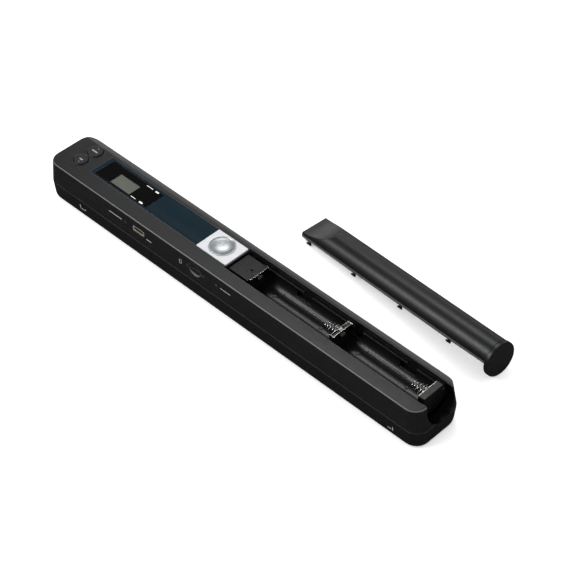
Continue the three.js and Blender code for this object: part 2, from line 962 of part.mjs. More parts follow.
// The sheet is wider above the tray's ledges than between the bay's walls
function contactHead(x) {
  const reach = span(channel.centre, 2 * (contact.halfWidth + contact.sheet));
  return box(x, reach, [tray.ledgeHeight + seatGap, contact.top]);
}

function nubContact(face) {
  const sheet = [face + inlayGap, face + inlayGap + contact.sheet];
  const folded = ears([sheet[0] - contact.ear, sheet[1]]);
  return joined([contactSheet(sheet), contactHead(sheet), nub(sheet[1] - contact.sheet / 2), ...folded]);
}

function springContact(face) {
  const sheet = [face - inlayGap - contact.sheet, face - inlayGap];
  return joined([contactSheet(sheet), contactHead(sheet)]);
}

// The folded link over the divider joins the first cell's spring side to the second cell's nub side
function linkContact() {
  const left = [bayOne[1] - inlayGap - contact.sheet, bayOne[1] - inlayGap];
  const right = [bayTwo[0] + inlayGap, bayTwo[0] + inlayGap + contact.sheet];
  const bridge = box(
    [left[0], right[1]],
    span(channel.centre, contact.bridgeWidth),
    [contact.top - contact.sheet, contact.top],
  );
  const sheets = [left, right].flatMap((sheet) => [contactSheet(sheet), contactHead(sheet)]);
  const folded = ears([left[0] - contact.ear / 2, right[1] + contact.ear / 2]);
  return joined([...sheets, nub(right[1] - contact.sheet / 2), bridge, ...folded]);
}

// A conical battery spring: one wire of open curls that narrows from its plate to the cell

function springPath() {
  const { baseRadius, tipRadius, curls, pitch, stepsPerCurl, wireRadius } = spring;
  const points = [];
  const steps = curls * stepsPerCurl;
  const straight = 2 * wireRadius;
  points.push(new THREE.Vector3(0, baseRadius, 0));
  for (let step = 0; step <= steps; step += 1) {
    const share = step / steps;
    const angle = share * curls * 2 * Math.PI;
    const radius = baseRadius + (tipRadius - baseRadius) * share;
    points.push(new THREE.Vector3(
      -straight - wireRadius - pitch * curls * share,
      radius * Math.cos(angle),
      radius * Math.sin(angle),
    ));
  }
  const last = points[points.length - 1];
  points.push(new THREE.Vector3(last.x - straight, last.y, last.z));
  return points;
}

// Rings of points square to the path, carried along it without twist
function wireRings(path, radius, sides) {
  const rings = [];
  let across = new THREE.Vector3(0, 0, 1);
  path.forEach((point, index) => {
    const before = path[Math.max(index - 1, 0)];
    const after = path[Math.min(index + 1, path.length - 1)];
    const along = after.clone().sub(before).normalize();
    across = across.clone().addScaledVector(along, -across.dot(along)).normalize();
    const other = along.clone().cross(across);
    const ring = [];
    for (let side = 0; side < sides; side += 1) {
      const angle = side / sides * 2 * Math.PI;
      ring.push(point.clone()
        .addScaledVector(across, radius * Math.cos(angle))
        .addScaledVector(other, radius * Math.sin(angle)));
    }
    rings.push(ring);
  });
  return rings;
}

function tubeSolid(rings) {
  const sides = rings[0].length;
  const positions = rings.flat().flatMap((point) => [point.x, point.y, point.z]);
  const triangles = [];
  for (let row = 0; row + 1 < rings.length; row += 1) {
    for (let side = 0; side < sides; side += 1) {
      const here = row * sides + side;
      const next = row * sides + (side + 1) % sides;
      triangles.push(here, next, next + sides, here, next + sides, here + sides);
    }
  }
  for (let side = 1; side + 1 < sides; side += 1) {
    const end = (rings.length - 1) * sides;
    triangles.push(0, side + 1, side, end, end + side, end + side + 1);
  }
  const geometry = new THREE.BufferGeometry();
  geometry.setAttribute('position', new THREE.Float32BufferAttribute(positions, 3));
  geometry.setIndex(triangles);
  return solidFrom(geometry);
}

// The least open distance between curls a whole turn apart, measured on the wire's middle line
function leastCurlGap(path) {
  let least = Infinity;
  for (let first = 0; first < path.length; first += 1) {
    for (let second = first + spring.stepsPerCurl - 1; second < path.length; second += 1) {
      least = Math.min(least, path[first].distanceTo(path[second]) - 2 * spring.wireRadius);
    }
  }
  return least;
}

function batterySpring(plateFace) {
  const rings = wireRings(springPath(), spring.wireRadius, spring.wireSides);
  const solid = tubeSolid(rings);
  return solid.translate([plateFace - inlayGap, channel.centre, tray.axisHeight]);
}

// Battery cover, in its own frame: X along its barrel with the disc's outer face at zero, heights from the
// disc's axis

const coverLocal = {
  axis: cover.axisHeight - cover.discAxisHeight,
  rim: coverRim - cover.discAxisHeight,
  left: -cover.length,
  footLow: coverRim - cover.discAxisHeight - cover.hookDrop,
};

function barrelSection(radius, low) {
  const shape = new THREE.Shape();
  const skirtTop = coverLocal.rim + cover.skirt;
  const start = Math.asin((skirtTop - coverLocal.axis) / radius);
  const halfWidth = radius * Math.cos(start);
  shape.moveTo(halfWidth, low);
  shape.lineTo(halfWidth, skirtTop);
  shape.absarc(0, coverLocal.axis, radius, start, Math.PI - start, false);
  shape.lineTo(-halfWidth, low);
  shape.closePath();
  return shape;
}

function rampCutter(radius) {
  const height = coverLocal.rim + cover.rampEndHeight + cover.rampRadius;
  const halfWidth = cover.radius + cutOver;
  return crosswiseRod(coverLocal.left, height, radius, [-halfWidth, halfWidth], 4 * roundSides);
}

function hookSolid(fromDisc, side) {
  const outer = side * (cover.radius - inlayGap);
  const inner = side * (cover.radius - inlayGap - cover.hookThickness);
  const across = [Math.min(outer, inner), Math.max(outer, inner)];
  const legX = span(-fromDisc, cover.hookWidth);
  const leg = box(legX, across, [coverLocal.footLow, coverLocal.rim + cover.skirt]);
  const toe = box(
    [legX[0] - cover.hookToe, legX[1]],
    across,
    [coverLocal.footLow, coverLocal.footLow + cover.hookToeHeight],
  );
  return joined([leg, toe]);
}

function batteryCover() {
  const barrel = lengthwisePrism(
    barrelSection(cover.radius, coverLocal.rim),
    [coverLocal.left, -cover.discThickness / 2],
  );
  const hollow = lengthwisePrism(
    barrelSection(cover.radius - cover.shell, coverLocal.rim - cutOver),
    [coverLocal.left + cover.shell, -cover.discThickness],
  );
  const roofedHollow = hollow.subtract(rampCutter(cover.rampRadius + cover.shell));
  const shell = barrel.subtract(rampCutter(cover.rampRadius)).subtract(roofedHollow);
  const discProfile = [
    [0, 0],
    [cover.discRadius - cover.discEdge, 0],
    [cover.discRadius, cover.discEdge],
    [cover.discRadius, cover.discThickness],
    [0, cover.discThickness],
  ];
  const discPoints = discProfile.map(([radius, depth]) => new THREE.Vector2(radius, depth));
  const disc = new THREE.LatheGeometry(discPoints, 2 * roundSides);
  disc.rotateZ(Math.PI / 2);
  const hooks = [];
  for (let index = 0; index < cover.hookCount; index += 1) {
    const fromDisc = cover.hookFromDisc + index * cover.hookPitch;
    hooks.push(hookSolid(fromDisc, -1), hookSolid(fromDisc, 1));
  }
  return joined([shell, solidFrom(disc), ...hooks]);
}

// The loose cover stands on its disc's inner edge and on the feet of the hooks farthest from the disc
function placeCover(mesh) {
  const farFoot = cover.hookFromDisc + (cover.hookCount - 1) * cover.hookPitch
    + cover.hookWidth / 2 + cover.hookToe;
  const tilt = Math.atan2(cover.discRadius + coverLocal.footLow, farFoot - cover.discThickness);
  const turn = THREE.MathUtils.degToRad(coverRest.turn);
  const height = cover.discRadius * Math.cos(tilt) + cover.discThickness * Math.sin(tilt);
  mesh.rotation.set(0, -tilt, turn, 'ZYX');
  mesh.position.set(coverRest.x, coverRest.y, height);
}

// Display strip, its lens and the glass below

function displayStrip() {
  const plate = box(
    [strip.left, stripRight],
    span(strip.centre, strip.width),
    [casing.railTop - strip.thickness, casing.railTop],
  );
  const opening = box(
    [lens.left - inlayGap, lens.left + lens.length + inlayGap],
    span(lens.centre, lens.width + 2 * inlayGap),
    [casing.railTop - strip.thickness - cutOver, casing.railTop + cutOver],
  );
  return plate.subtract(opening);
}

function displayLens() {
  const heights = [casing.railTop - lens.thickness, casing.railTop];
  const throughHeights = [heights[0] - cutOver, heights[1] + cutOver];
  const plate = box([lens.left, lens.left + lens.length], span(lens.centre, lens.width), heights);
  const view = box(
    span(lcd.centreX, lcd.viewLength + 2 * inlayGap),
    span(lcd.centreY, lcd.viewWidth + 2 * inlayGap),
    throughHeights,
  );
  const lights = statusLight.places.map(([x, y]) => box(
    span(x, statusLight.length + 2 * inlayGap),
    span(y, statusLight.width + 2 * inlayGap),
    throughHeights,
  ));
  return without(plate, [view, ...lights]);
}

function lcdGlass() {
  const baseFoot = boardTop + inlayGap / 2;
  const baseTop = Math.min(baseFoot + lcd.baseThickness, roofUnder - inlayGap);
  const base = box(
    span(lcd.centreX, lcd.viewLength + 2 * lcd.rim),
    span(lcd.centreY, lcd.viewWidth + 2 * lcd.rim),
    [baseFoot, baseTop],
  );
  const view = box(
    span(lcd.centreX, lcd.viewLength),
    span(lcd.centreY, lcd.viewWidth),
    [baseFoot, casing.railTop - lcd.sink],
  );
  return base.add(view);
}

// Keys

function scanPlate() {
  const heights = [casing.railTop + keyPlate.proud - keyPlate.thickness, casing.railTop + keyPlate.proud];
  const outline = roundedRectangle(
    span(keyPlate.centreX, keyPlate.length),
    span(keyPlate.centreY, keyPlate.width),
    keyPlate.cornerRadius,
  );
  const hole = uprightRod(
    scanKey.centreX, scanKey.centreY, scanKey.radius + scanKey.ringGap,
    [heights[0] - cutOver, heights[1] + cutOver], 2 * roundSides,
  );
  return uprightPrism(outline, heights).subtract(hole);
}

function scanButton() {
  const edge = casing.railTop + scanKey.edgeRise;
  const flangeTop = casing.railTop + keyPlate.proud - keyPlate.thickness - slideGap;
  const flangeFoot = flangeTop - scanKey.flangeThickness;
  const domeShares = [1, 0.92, 0.75, 0.5, 0.25, 0];
  const dome = domeShares.map((share) => [
    scanKey.radius * share,
    edge + scanKey.domeRise * Math.sqrt(1 - share * share),
  ]);
  const profile = [
    [0, domeTop + keyTravel + stemClear],
    [scanKey.stemRadius, domeTop + keyTravel + stemClear],
    [scanKey.stemRadius, flangeFoot],
    [scanKey.radius + scanKey.flange, flangeFoot],
    [scanKey.radius + scanKey.flange, flangeTop],
    [scanKey.radius, flangeTop],
    ...dome,
  ];
  return lathe(profile, 2 * roundSides).translate([scanKey.centreX, scanKey.centreY, 0]);
}

// Its flange reaches out along the wand only, because the two keys stand close together across it
function topButton({ x, y, radius }) {
  const top = casing.railTop + topKey.rise;
  const flangeTop = roofUnder - slideGap;
  const flangeFoot = flangeTop - topKey.flangeThickness;
  const profile = [
    [0, domeTop + keyTravel + stemClear],
    [topKey.stemRadius, domeTop + keyTravel + stemClear],
    [topKey.stemRadius, flangeFoot],
    [radius + topKey.flange, flangeFoot],
    [radius + topKey.flange, flangeTop],
    [radius, flangeTop],
    [radius, top - topKey.edge],
    [radius - topKey.edge, top],
    [0, top],
  ];
  const allHeights = [domeTop, top + cutOver];
  const flangeSides = box(span(0, 2 * (radius + 2 * topKey.flange)), span(0, 2 * radius + topKey.ringGap), allHeights);
  return lathe(profile, roundSides).intersect(flangeSides).translate([x, y, 0]);
}

function snapDomeSolid(x, y) {
  const foot = domeTop - snapDome.height;
  const profile = [
    [0, foot],
    [snapDome.radius, foot],
    [snapDome.radius * snapDome.shoulderShare, foot + snapDome.height * snapDome.shoulderRiseShare],
    [snapDome.radius * snapDome.crownShare, domeTop],
    [0, domeTop],
  ];
  return lathe(profile, smallSides).translate([x, y, 0]);
}

// Main board and what is on it

function mainBoard() {
  const heights = [boardUnder, boardTop];
  const innerRing = casingRing(boardUnder, casing.wall);
  const front = innerRing.front + board.edgeClear;
  const back = innerRing.back - board.edgeClear;
  const ends = [leftEnd + board.fromLeftEnd, channel.left - board.beforeChannel];
  const outline = roundedRectangle(ends, [front, back], board.edgeClear + casing.wall);
  const tab = box([ends[1] - board.tabWidth, ends[1] + board.tabReach], [front, front + board.tabWidth], heights);
  const through = [heights[0] - cutOver, heights[1] + cutOver];
  const bossCuts = casingScrewPlaces.map(([x, y]) => uprightRod(
    x, y, casingScrew.shankRadius + casingScrew.wallAround + seatGap, through,
  ));
  const screwCuts = boardScrewPlaces.map(([x, y]) => uprightRod(x, y, boardScrew.shankRadius + slideGap, through));
  return without(uprightPrism(outline, heights).add(tab), [...bossCuts, ...screwCuts]);
}

function usbShell() {
  const height = inletHeights().usb;
  const face = frontFace(height) + usb.sink;
  const back = face + usb.depth;
  const outer = box(span(usb.centreX, usb.width), [face, back], span(height, usb.height));
  const inside = box(
    span(usb.centreX, usb.width - 2 * usb.sheet),
    [face - cutOver, back - usb.sheet],
    span(height, usb.height - 2 * usb.sheet),
  );
  return outer.subtract(inside);
}

function usbTongue() {
  const height = inletHeights().usb;
  const back = frontFace(height) + usb.sink + usb.depth - usb.sheet - inlayGap;
  return box(
    span(usb.centreX, usb.tongueWidth),
    [back - usb.tongueLength, back],
    span(height, usb.tongueHeight),
  );
}

function cardSocket() {
  const height = inletHeights().card;
  const face = frontFace(height) + casing.wall + slideGap;
  const outer = box(
    span(cardSlot.centreX, cardSlot.width + 2 * cardSlot.socketMargin),
    [face, face + cardSlot.socketDepth],
    span(height, cardSlot.socketHeight),
  );
  const inside = box(
    span(cardSlot.centreX, cardSlot.width - 2 * cardSlot.sheet),
    [face - cutOver, face + cardSlot.socketDepth - cardSlot.sheet],
    span(height, cardSlot.socketHeight - 2 * cardSlot.sheet),
  );
  return outer.subtract(inside);
}

function pinKeyFront() {
  return frontFace(inletHeights().pin) + casing.wall + slideGap;
}

function pinPlunger({ x }) {
  const front = pinKeyFront();
  return crosswiseRod(x, inletHeights().pin, pinKey.radius, [front, front + pinKey.length]);
}

function pinSwitch({ x }) {
  const front = pinKeyFront() + pinKey.length + pinKey.travel + stemClear;
  return box(span(x, pinKey.bodyWidth), [front, front + pinKey.bodyDepth], [socketTop - 2 * pinKey.drop, socketTop]);
}

function boardScrewSolid([x, y]) {
  const top = boardUnder - inlayGap / 2;
  const profile = [
    [0, top - boardScrew.headHeight],
    [boardScrew.headRadius, top - boardScrew.headHeight],
    [boardScrew.headRadius, top],
    [boardScrew.shankRadius, top],
    [boardScrew.shankRadius, top + boardScrew.length],
    [0, top + boardScrew.length],
  ];
  return lathe(profile, smallSides).translate([x, y, 0]);
}

function casingScrewSolid([x, y]) {
  const seat = screwSeat();
  const profile = [
    [0, casingScrew.sink],
    [casingScrew.headRadius, casingScrew.sink],
    [casingScrew.headRadius, seat],
    [casingScrew.shankRadius, seat],
    [casingScrew.shankRadius, seat + casingScrew.length],
    [0, seat + casingScrew.length],
  ];
  return lathe(profile, smallSides).translate([x, y, 0]);
}

// Image sensor below: a housing with its glass, rod lens and light guide, under a narrow board

function sensorHousing() {
  const outer = box(span(0, sensorLength), span(sensor.centreY, sensor.width), [sensorFoot, sensorTop]);
  const lensSlot = box(
    span(0, scanLength + 2 * seatGap),
    span(sensor.centreY + sensor.lensOffset, sensor.lensWidth + 2 * slideGap),
    [sensorFoot - cutOver, sensorTop + cutOver],
  );
  const guideSlot = box(
    span(0, scanLength + 2 * seatGap),
    span(sensor.centreY + sensor.guideOffset, sensor.guideWidth + 2 * slideGap),
    [sensorFoot - cutOver, sensorFoot + sensor.guideHeight + 2 * slideGap],
  );
  return without(outer, [lensSlot, guideSlot]);
}

function sensorGlass() {
  return box(
    span(0, glassLength),
    span(sensor.centreY, sensor.glassWidth),
    [sensor.glassSink, sensor.glassSink + sensor.glassThickness],
  );
}

function rodLens() {
  const foot = sensorFoot + (sensor.height - sensor.lensHeight) / 2;
  return box(
    span(0, scanLength),
    span(sensor.centreY + sensor.lensOffset, sensor.lensWidth),
    [foot, foot + sensor.lensHeight],
  );
}

function lightGuide() {
  const foot = sensorFoot + slideGap;
  const [front, back] = span(sensor.centreY + sensor.guideOffset, sensor.guideWidth);
  const shape = new THREE.Shape();
  shape.moveTo(front, foot);
  shape.lineTo(back, foot);
  shape.lineTo(back, foot + sensor.guideHeight);
  shape.lineTo(front + sensor.guideWidth / 2, foot + sensor.guideHeight);
  shape.lineTo(front, foot + sensor.guideHeight / 2);
  shape.closePath();
  return lengthwisePrism(shape, span(0, scanLength));
}

const sensorBoardFoot = sensorTop + slideGap;
const sensorBoardTop = sensorBoardFoot + sensor.boardThickness;

function sensorBoard() {
  return box(
    span(0, sensorLength - 2 * sensor.boardInset),
    span(sensor.centreY, sensor.width - 2 * sensor.boardInset),
    [sensorBoardFoot, sensorBoardTop],
  );
}

// Flat cable from the sensor's board up to the main board

const lowerSocketFoot = sensorBoardTop + inlayGap / 2;
const lowerSocketTop = lowerSocketFoot + ribbon.socketHeight;
const upperSocketFoot = socketTop - ribbon.socketHeight;

function ribbonSocket(z) {
  return box(
    span(ribbon.centreX, ribbon.width + 2 * ribbon.socketMargin),
    span(sensor.centreY, ribbon.socketDepth),
    z,
  );
}

function flatCable() {
  const foot = lowerSocketTop + inlayGap / 2;
  const top = upperSocketFoot - inlayGap / 2;
  const side = (offset) => {
    const points = [];
    for (let step = 0; step <= ribbon.steps; step += 1) {
      const share = step / ribbon.steps;
      const sway = ribbon.swing * Math.sin(share * 2 * Math.PI) / 2;
      points.push([sensor.centreY + sway + offset, foot + (top - foot) * share]);
    }
    return points;
  };
  const outline = [...side(ribbon.thickness / 2), ...side(-ribbon.thickness / 2).reverse()];
  const shape = new THREE.Shape(outline.map(([y, z]) => new THREE.Vector2(y, z)));
  return lengthwisePrism(shape, span(ribbon.centreX, ribbon.width));
}

// Roller shaft, its two rubber rollers, bushes and the slotted wheel that measures the travel

function rollerShaft() {
  return lengthwiseRod(roller.centreY, rollerAxis, roller.shaftRadius, span(0, shaftLength), smallSides);
}

function rubberRoller(side) {
  const { radius, length, edge, shaftRadius } = roller;
  const bore = shaftRadius + slideGap;
  const profile = [
    [bore, -length / 2],
    [radius - edge, -length / 2],
    [radius, -length / 2 + edge],
    [radius, length / 2 - edge],
    [radius - edge, length / 2],
    [bore, length / 2],
    [bore, -length / 2],
  ];
  const points = profile.map(([ring, along]) => new THREE.Vector2(ring, along));
  const geometry = new THREE.LatheGeometry(points, roundSides);
  geometry.rotateZ(-Math.PI / 2);
  geometry.translate(side * rollerX, roller.centreY, rollerAxis);
  return solidFrom(geometry);
}

function bushSolid(side) {
  const outerEnd = shaftLength / 2;
  const ends = [side * (outerEnd - bush.thickness), side * outerEnd];
  const x = [Math.min(...ends), Math.max(...ends)];
  const top = rollerAxis + roller.shaftRadius + bush.wallAbove;
  const block = box(x, span(roller.centreY, bush.width), [floorTop + inlayGap, top]);
  const bore = lengthwiseRod(
    roller.centreY, rollerAxis, roller.shaftRadius + bush.runningGap, [x[0] - cutOver, x[1] + cutOver], roundSides,
  );
  return block.subtract(bore);
}

function encoderWheel() {
  const x = span(encoder.centreX, encoder.thickness);
  const wheel = lengthwiseRod(roller.centreY, rollerAxis, encoder.radius, x, roundSides);
  const bore = lengthwiseRod(
    roller.centreY, rollerAxis, roller.shaftRadius + slideGap / 2, [x[0] - cutOver, x[1] + cutOver],
  );
  const slots = [];
  for (let index = 0; index < encoder.slots; index += 1) {
    const slot = new THREE.BoxGeometry(2 * encoder.thickness, encoder.slotWidth, 2 * encoder.slotDepth);
    slot.translate(0, 0, encoder.radius);
    slot.rotateX(index / encoder.slots * 2 * Math.PI);
    slot.translate(encoder.centreX, roller.centreY, rollerAxis);
    slots.push(solidFrom(slot));
  }
  return without(wheel, [bore, ...slots]);
}

function encoderSensor() {
  const front = roller.centreY + roller.shaftRadius + seatGap;
  const foot = floorTop + inlayGap;
  const block = box(
    span(encoder.centreX, encoder.sensorLength),
    [front, front + encoder.sensorReach],
    [foot, foot + encoder.sensorHeight],
  );
  const wheelRoom = box(
    span(encoder.centreX, encoder.thickness + 2 * encoder.slotGap),
    [front - cutOver, roller.centreY + encoder.radius + encoder.slotGap],
    [foot - cutOver, foot + encoder.sensorHeight + cutOver],
  );
  return block.subtract(wheelRoom);
}

// Assembly

addPiece('upper_casing', upperCasing(), finishes.casingTop);
addPiece('lower_casing', lowerCasing(), finishes.casingBottom);
addPiece('battery_tray', batteryTray(), finishes.tray);
addPiece('nub_contact', nubContact(bayOne[0]), finishes.chrome);
addPiece('link_contact', linkContact(), finishes.chrome);
addPiece('spring_contact', springContact(bayTwo[1]), finishes.chrome);
addPiece('battery_spring_1', batterySpring(bayOne[1] - inlayGap - contact.sheet), finishes.spring);
addPiece('battery_spring_2', batterySpring(bayTwo[1] - inlayGap - contact.sheet), finishes.spring);
placeCover(addPiece('battery_cover', batteryCover(), finishes.cover));

addPiece('display_strip', displayStrip(), finishes.navy);
addPiece('display_lens', displayLens(), finishes.gloss);
addPiece('display_glass', lcdGlass(), finishes.liquidCrystal);
statusLight.places.forEach(([x, y], index) => {
  const light = box(
    span(x, statusLight.length),
    span(y, statusLight.width),
    [boardTop + inlayGap / 2, casing.railTop],
  );
  addPiece(`status_light_${index + 1}`, light, finishes.white);
});

addPiece('key_plate', scanPlate(), finishes.silver);
addPiece('scan_button', scanButton(), finishes.silver);
addPiece('scan_snap_dome', snapDomeSolid(scanKey.centreX, scanKey.centreY), finishes.steel);
topKeys.forEach((key) => {
  addPiece(key.name, topButton(key), finishes.keyPlastic);
  addPiece(key.dome, snapDomeSolid(key.x, key.y), finishes.steel);
});

addPiece('main_board', mainBoard(), finishes.boardGreen);
addPiece('usb_shell', usbShell(), finishes.steel);
addPiece('usb_tongue', usbTongue(), finishes.black);
addPiece('card_socket', cardSocket(), finishes.steel);
pinKey.places.forEach((place) => {
  addPiece(place.name, pinPlunger(place), finishes.white);
  addPiece(place.body, pinSwitch(place), finishes.black);
});
casingScrewPlaces.forEach((place, index) => {
  addPiece(`casing_screw_${index + 1}`, casingScrewSolid(place), finishes.steel);
});
boardScrewPlaces.forEach((place, index) => {
  addPiece(`board_screw_${index + 1}`, boardScrewSolid(place), finishes.steel);
});

addPiece('sensor_housing', sensorHousing(), finishes.black);
addPiece('sensor_glass', sensorGlass(), finishes.glass);
addPiece('rod_lens', rodLens(), finishes.acrylic);
addPiece('light_guide', lightGuide(), finishes.acrylic);
addPiece('sensor_board', sensorBoard(), finishes.boardGreen);
addPiece('ribbon_socket_lower', ribbonSocket([lowerSocketFoot, lowerSocketTop]), finishes.black);
addPiece('ribbon_socket_upper', ribbonSocket([upperSocketFoot, socketTop]), finishes.black);
addPiece('flat_cable', flatCable(), finishes.ribbonFilm);

addPiece('roller_shaft', rollerShaft(), finishes.steel);
addPiece('roller_left', rubberRoller(-1), finishes.rubber);
addPiece('roller_right', rubberRoller(1), finishes.rubber);
addPiece('bush_left', bushSolid(-1), finishes.bushing);
addPiece('bush_right', bushSolid(1), finishes.bushing);
addPiece('encoder_wheel', encoderWheel(), finishes.black);
addPiece('encoder_sensor', encoderSensor(), finishes.black);

console.log(`least gap between the battery springs' curls: ${leastCurlGap(springPath()).toFixed(2)} mm`);

export default scanner;
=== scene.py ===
"""Looks of the handheld document scanner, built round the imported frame.

Lengths are in metres. X runs along the wand from the display to the battery end, Y from the front side to the
back side, and Z up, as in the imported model.
"""

import logging
import math
from dataclasses import dataclass
from enum import Enum
from typing import Sequence

import bmesh
import bpy
from mathutils import Matrix, Quaternion, Vector


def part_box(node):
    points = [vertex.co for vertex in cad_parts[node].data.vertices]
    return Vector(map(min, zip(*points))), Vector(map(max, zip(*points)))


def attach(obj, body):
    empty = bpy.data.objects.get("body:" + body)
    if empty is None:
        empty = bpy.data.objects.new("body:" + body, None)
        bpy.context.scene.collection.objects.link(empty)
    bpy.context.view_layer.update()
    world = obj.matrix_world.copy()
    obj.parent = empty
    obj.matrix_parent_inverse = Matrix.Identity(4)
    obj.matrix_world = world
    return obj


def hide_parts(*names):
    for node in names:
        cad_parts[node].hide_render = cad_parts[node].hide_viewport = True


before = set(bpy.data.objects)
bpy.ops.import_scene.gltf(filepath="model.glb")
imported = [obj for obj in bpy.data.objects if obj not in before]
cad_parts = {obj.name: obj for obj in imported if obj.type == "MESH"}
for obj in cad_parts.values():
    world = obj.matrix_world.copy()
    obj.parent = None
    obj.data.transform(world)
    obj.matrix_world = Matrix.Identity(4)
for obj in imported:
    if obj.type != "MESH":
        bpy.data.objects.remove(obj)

LOG = logging.getLogger("scanner_looks")
MM = 0.001
READER = "reader"
WELD_REACH = 0.002 * MM
FLAT_BEND = math.radians(0.5)
EDGE_BEND = math.radians(32)
HARD_BEND = math.radians(30)
ROUNDING_STEPS = 2

Colour = tuple[float, float, float]
Pair = tuple[float, float]
Direction = tuple[float, float, float]


class Side(Enum):
    """The sides of the wand that carry print, as directions."""

    FRONT = Vector((0, -1, 0))
    TOP = Vector((0, 0, 1))


class Lay(Enum):
    """The way in which fine marks run over a metal's face."""

    ALONG = Vector((0.04, 1, 1))
    ACROSS = Vector((1, 0.04, 1))
    EVEN = Vector((1, 1, 1))
    ROUND = Vector((1, 1, 0))


class NodeSheet:
    """Lays out the nodes of one material around its Principled shader."""

    WEAR_AND_HIGHLIGHT_BEND: Pair = (0.995, 0.85)
    OFF_LEVEL: Pair = (0.94, 0.88)
    OFF_UPRIGHT: Pair = (0.3, 0.5)
    FADE: float = 0.1 * MM

    def __init__(self, name: str) -> None:
        """Starts a material.

        Args:
            name: The material's name.
        """
        self.material = bpy.data.materials.new(name)
        self.material.use_nodes = True
        self.tree = self.material.node_tree
        self.shader = self.tree.nodes["Principled BSDF"]
        self.place = self.add("ShaderNodeTexCoord").outputs["Object"]

    def add(self, kind: str, **settings: object) -> bpy.types.Node:
        """Adds a node.

        Args:
            kind: The node's type name.
            settings: Values of the node's own properties.

        Returns:
            The new node.
        """
        node = self.tree.nodes.new(kind)
        for name, value in settings.items():
            setattr(node, name, value)
        return node

    def preset(self, node: bpy.types.Node, values: dict[str, float]) -> None:
        """Sets the values of a node's input sockets, by their names."""
        for name, value in values.items():
            node.inputs[name].default_value = value

    def link(self, source: bpy.types.NodeSocket, target: bpy.types.NodeSocket) -> None:
        """Joins one socket, the source, to another, the target."""
        self.tree.links.new(source, target)

    def stretched(self, lay: Lay) -> bpy.types.NodeSocket:
        """The place on the surface, drawn out along the lay of the marks.

        Args:
            lay: The lay of the marks.

        Returns:
            The place's socket.
        """
        mapping = self.add("ShaderNodeMapping")
        mapping.inputs["Scale"].default_value = lay.value
        self.link(self.place, mapping.inputs["Vector"])
        return mapping.outputs["Vector"]

    def noise(self, size: float, detail: float = 3, lay: Lay = Lay.EVEN) -> bpy.types.NodeSocket:
        """An uneven value over the surface.

        Args:
            size: The size of one patch.
            detail: How many finer layers lie on it.
            lay: The direction in which the patches are drawn out.

        Returns:
            The socket of a value from zero to one.
        """
        noise = self.add("ShaderNodeTexNoise")
        noise.inputs["Scale"].default_value = 1 / size
        noise.inputs["Detail"].default_value = detail
        self.link(self.stretched(lay), noise.inputs["Vector"])
        return noise.outputs["Fac"]

    def cells(self, size: float) -> bpy.types.NodeSocket:
        """Distances within small cells, which give a spark-eroded grain.

        Args:
            size: The size of one cell.

        Returns:
            The distance's socket.
        """
        cells = self.add("ShaderNodeTexVoronoi")
        cells.inputs["Scale"].default_value = 1 / size
        self.link(self.place, cells.inputs["Vector"])
        return cells.outputs["Distance"]

    def rings(self, period: float) -> bpy.types.NodeSocket:
        """Fine round marks about the piece's own upright axis, as a lathe leaves them.

        Args:
            period: The distance from one mark to the next.

        Returns:
            The socket of a value from zero to one.
        """
        rings = self.add("ShaderNodeTexWave", wave_type="RINGS", rings_direction="Z")
        scale = math.tau / 20 / period
        self.preset(rings, {"Scale": scale, "Distortion": 1.5, "Detail": 3, "Detail Scale": 2})
        self.link(self.place, rings.inputs["Vector"])
        return rings.outputs["Fac"]

    def rounded(self, radius: float) -> bpy.types.NodeSocket:
        """The surface's direction with its edges rounded off.

        Args:
            radius: The rounding's radius.

        Returns:
            The direction's socket.
        """
        bevel = self.add("ShaderNodeBevel", samples=6)
        bevel.inputs["Radius"].default_value = radius
        return bevel.outputs["Normal"]

    def spread(
        self, value: bpy.types.NodeSocket, low: float, high: float, start: float = 0.3, end: float = 0.7
    ) -> bpy.types.NodeSocket:
        """Maps a value to another range.

        Args:
            value: The value.
            low: What it becomes at the start and before.
            high: What it becomes at the end and after.
            start: The value's start.
            end: The value's end.

        Returns:
            The socket of the mapped value.
        """
        node = self.add("ShaderNodeMapRange")
        self.preset(node, {"From Min": start, "From Max": end, "To Min": low, "To Max": high})
        self.link(value, node.inputs["Value"])
        return node.outputs["Result"]

    def shades(
        self, value: bpy.types.NodeSocket, first: Colour | bpy.types.NodeSocket, second: Colour
    ) -> bpy.types.NodeSocket:
        """Mixes two colours by a value.

        Args:
            value: The share of the second colour.
            first: The colour at zero, or the socket that gives it.
            second: The colour at one.

        Returns:
            The mixed colour's socket.
        """
        mix = self.add("ShaderNodeMix", data_type="RGBA")
        factor, colour_a, colour_b = mix.inputs[0], mix.inputs[6], mix.inputs[7]
        self.link(value, factor)
        if isinstance(first, tuple):
            colour_a.default_value = (*first, 1)
        else:
            self.link(first, colour_a)
        colour_b.default_value = (*second, 1)
        return mix.outputs[2]

    def edge_wear_and_highlight(self, reach: float) -> bpy.types.NodeSocket:
        """A value that rises where the surface bends, used to lighten edges for wear and for painted
        highlights.

        Args:
            reach: How far from an edge it rises.

        Returns:
            The value's socket.
        """
        rounded = self.add("ShaderNodeBevel", samples=4)
        rounded.inputs["Radius"].default_value = reach
        geometry = self.add("ShaderNodeNewGeometry")
        likeness = self.add("ShaderNodeVectorMath", operation="DOT_PRODUCT")
        self.link(rounded.outputs["Normal"], likeness.inputs[0])
        self.link(geometry.outputs["Normal"], likeness.inputs[1])
        return self.spread(likeness.outputs["Value"], 0, 1, *self.WEAR_AND_HIGHLIGHT_BEND)

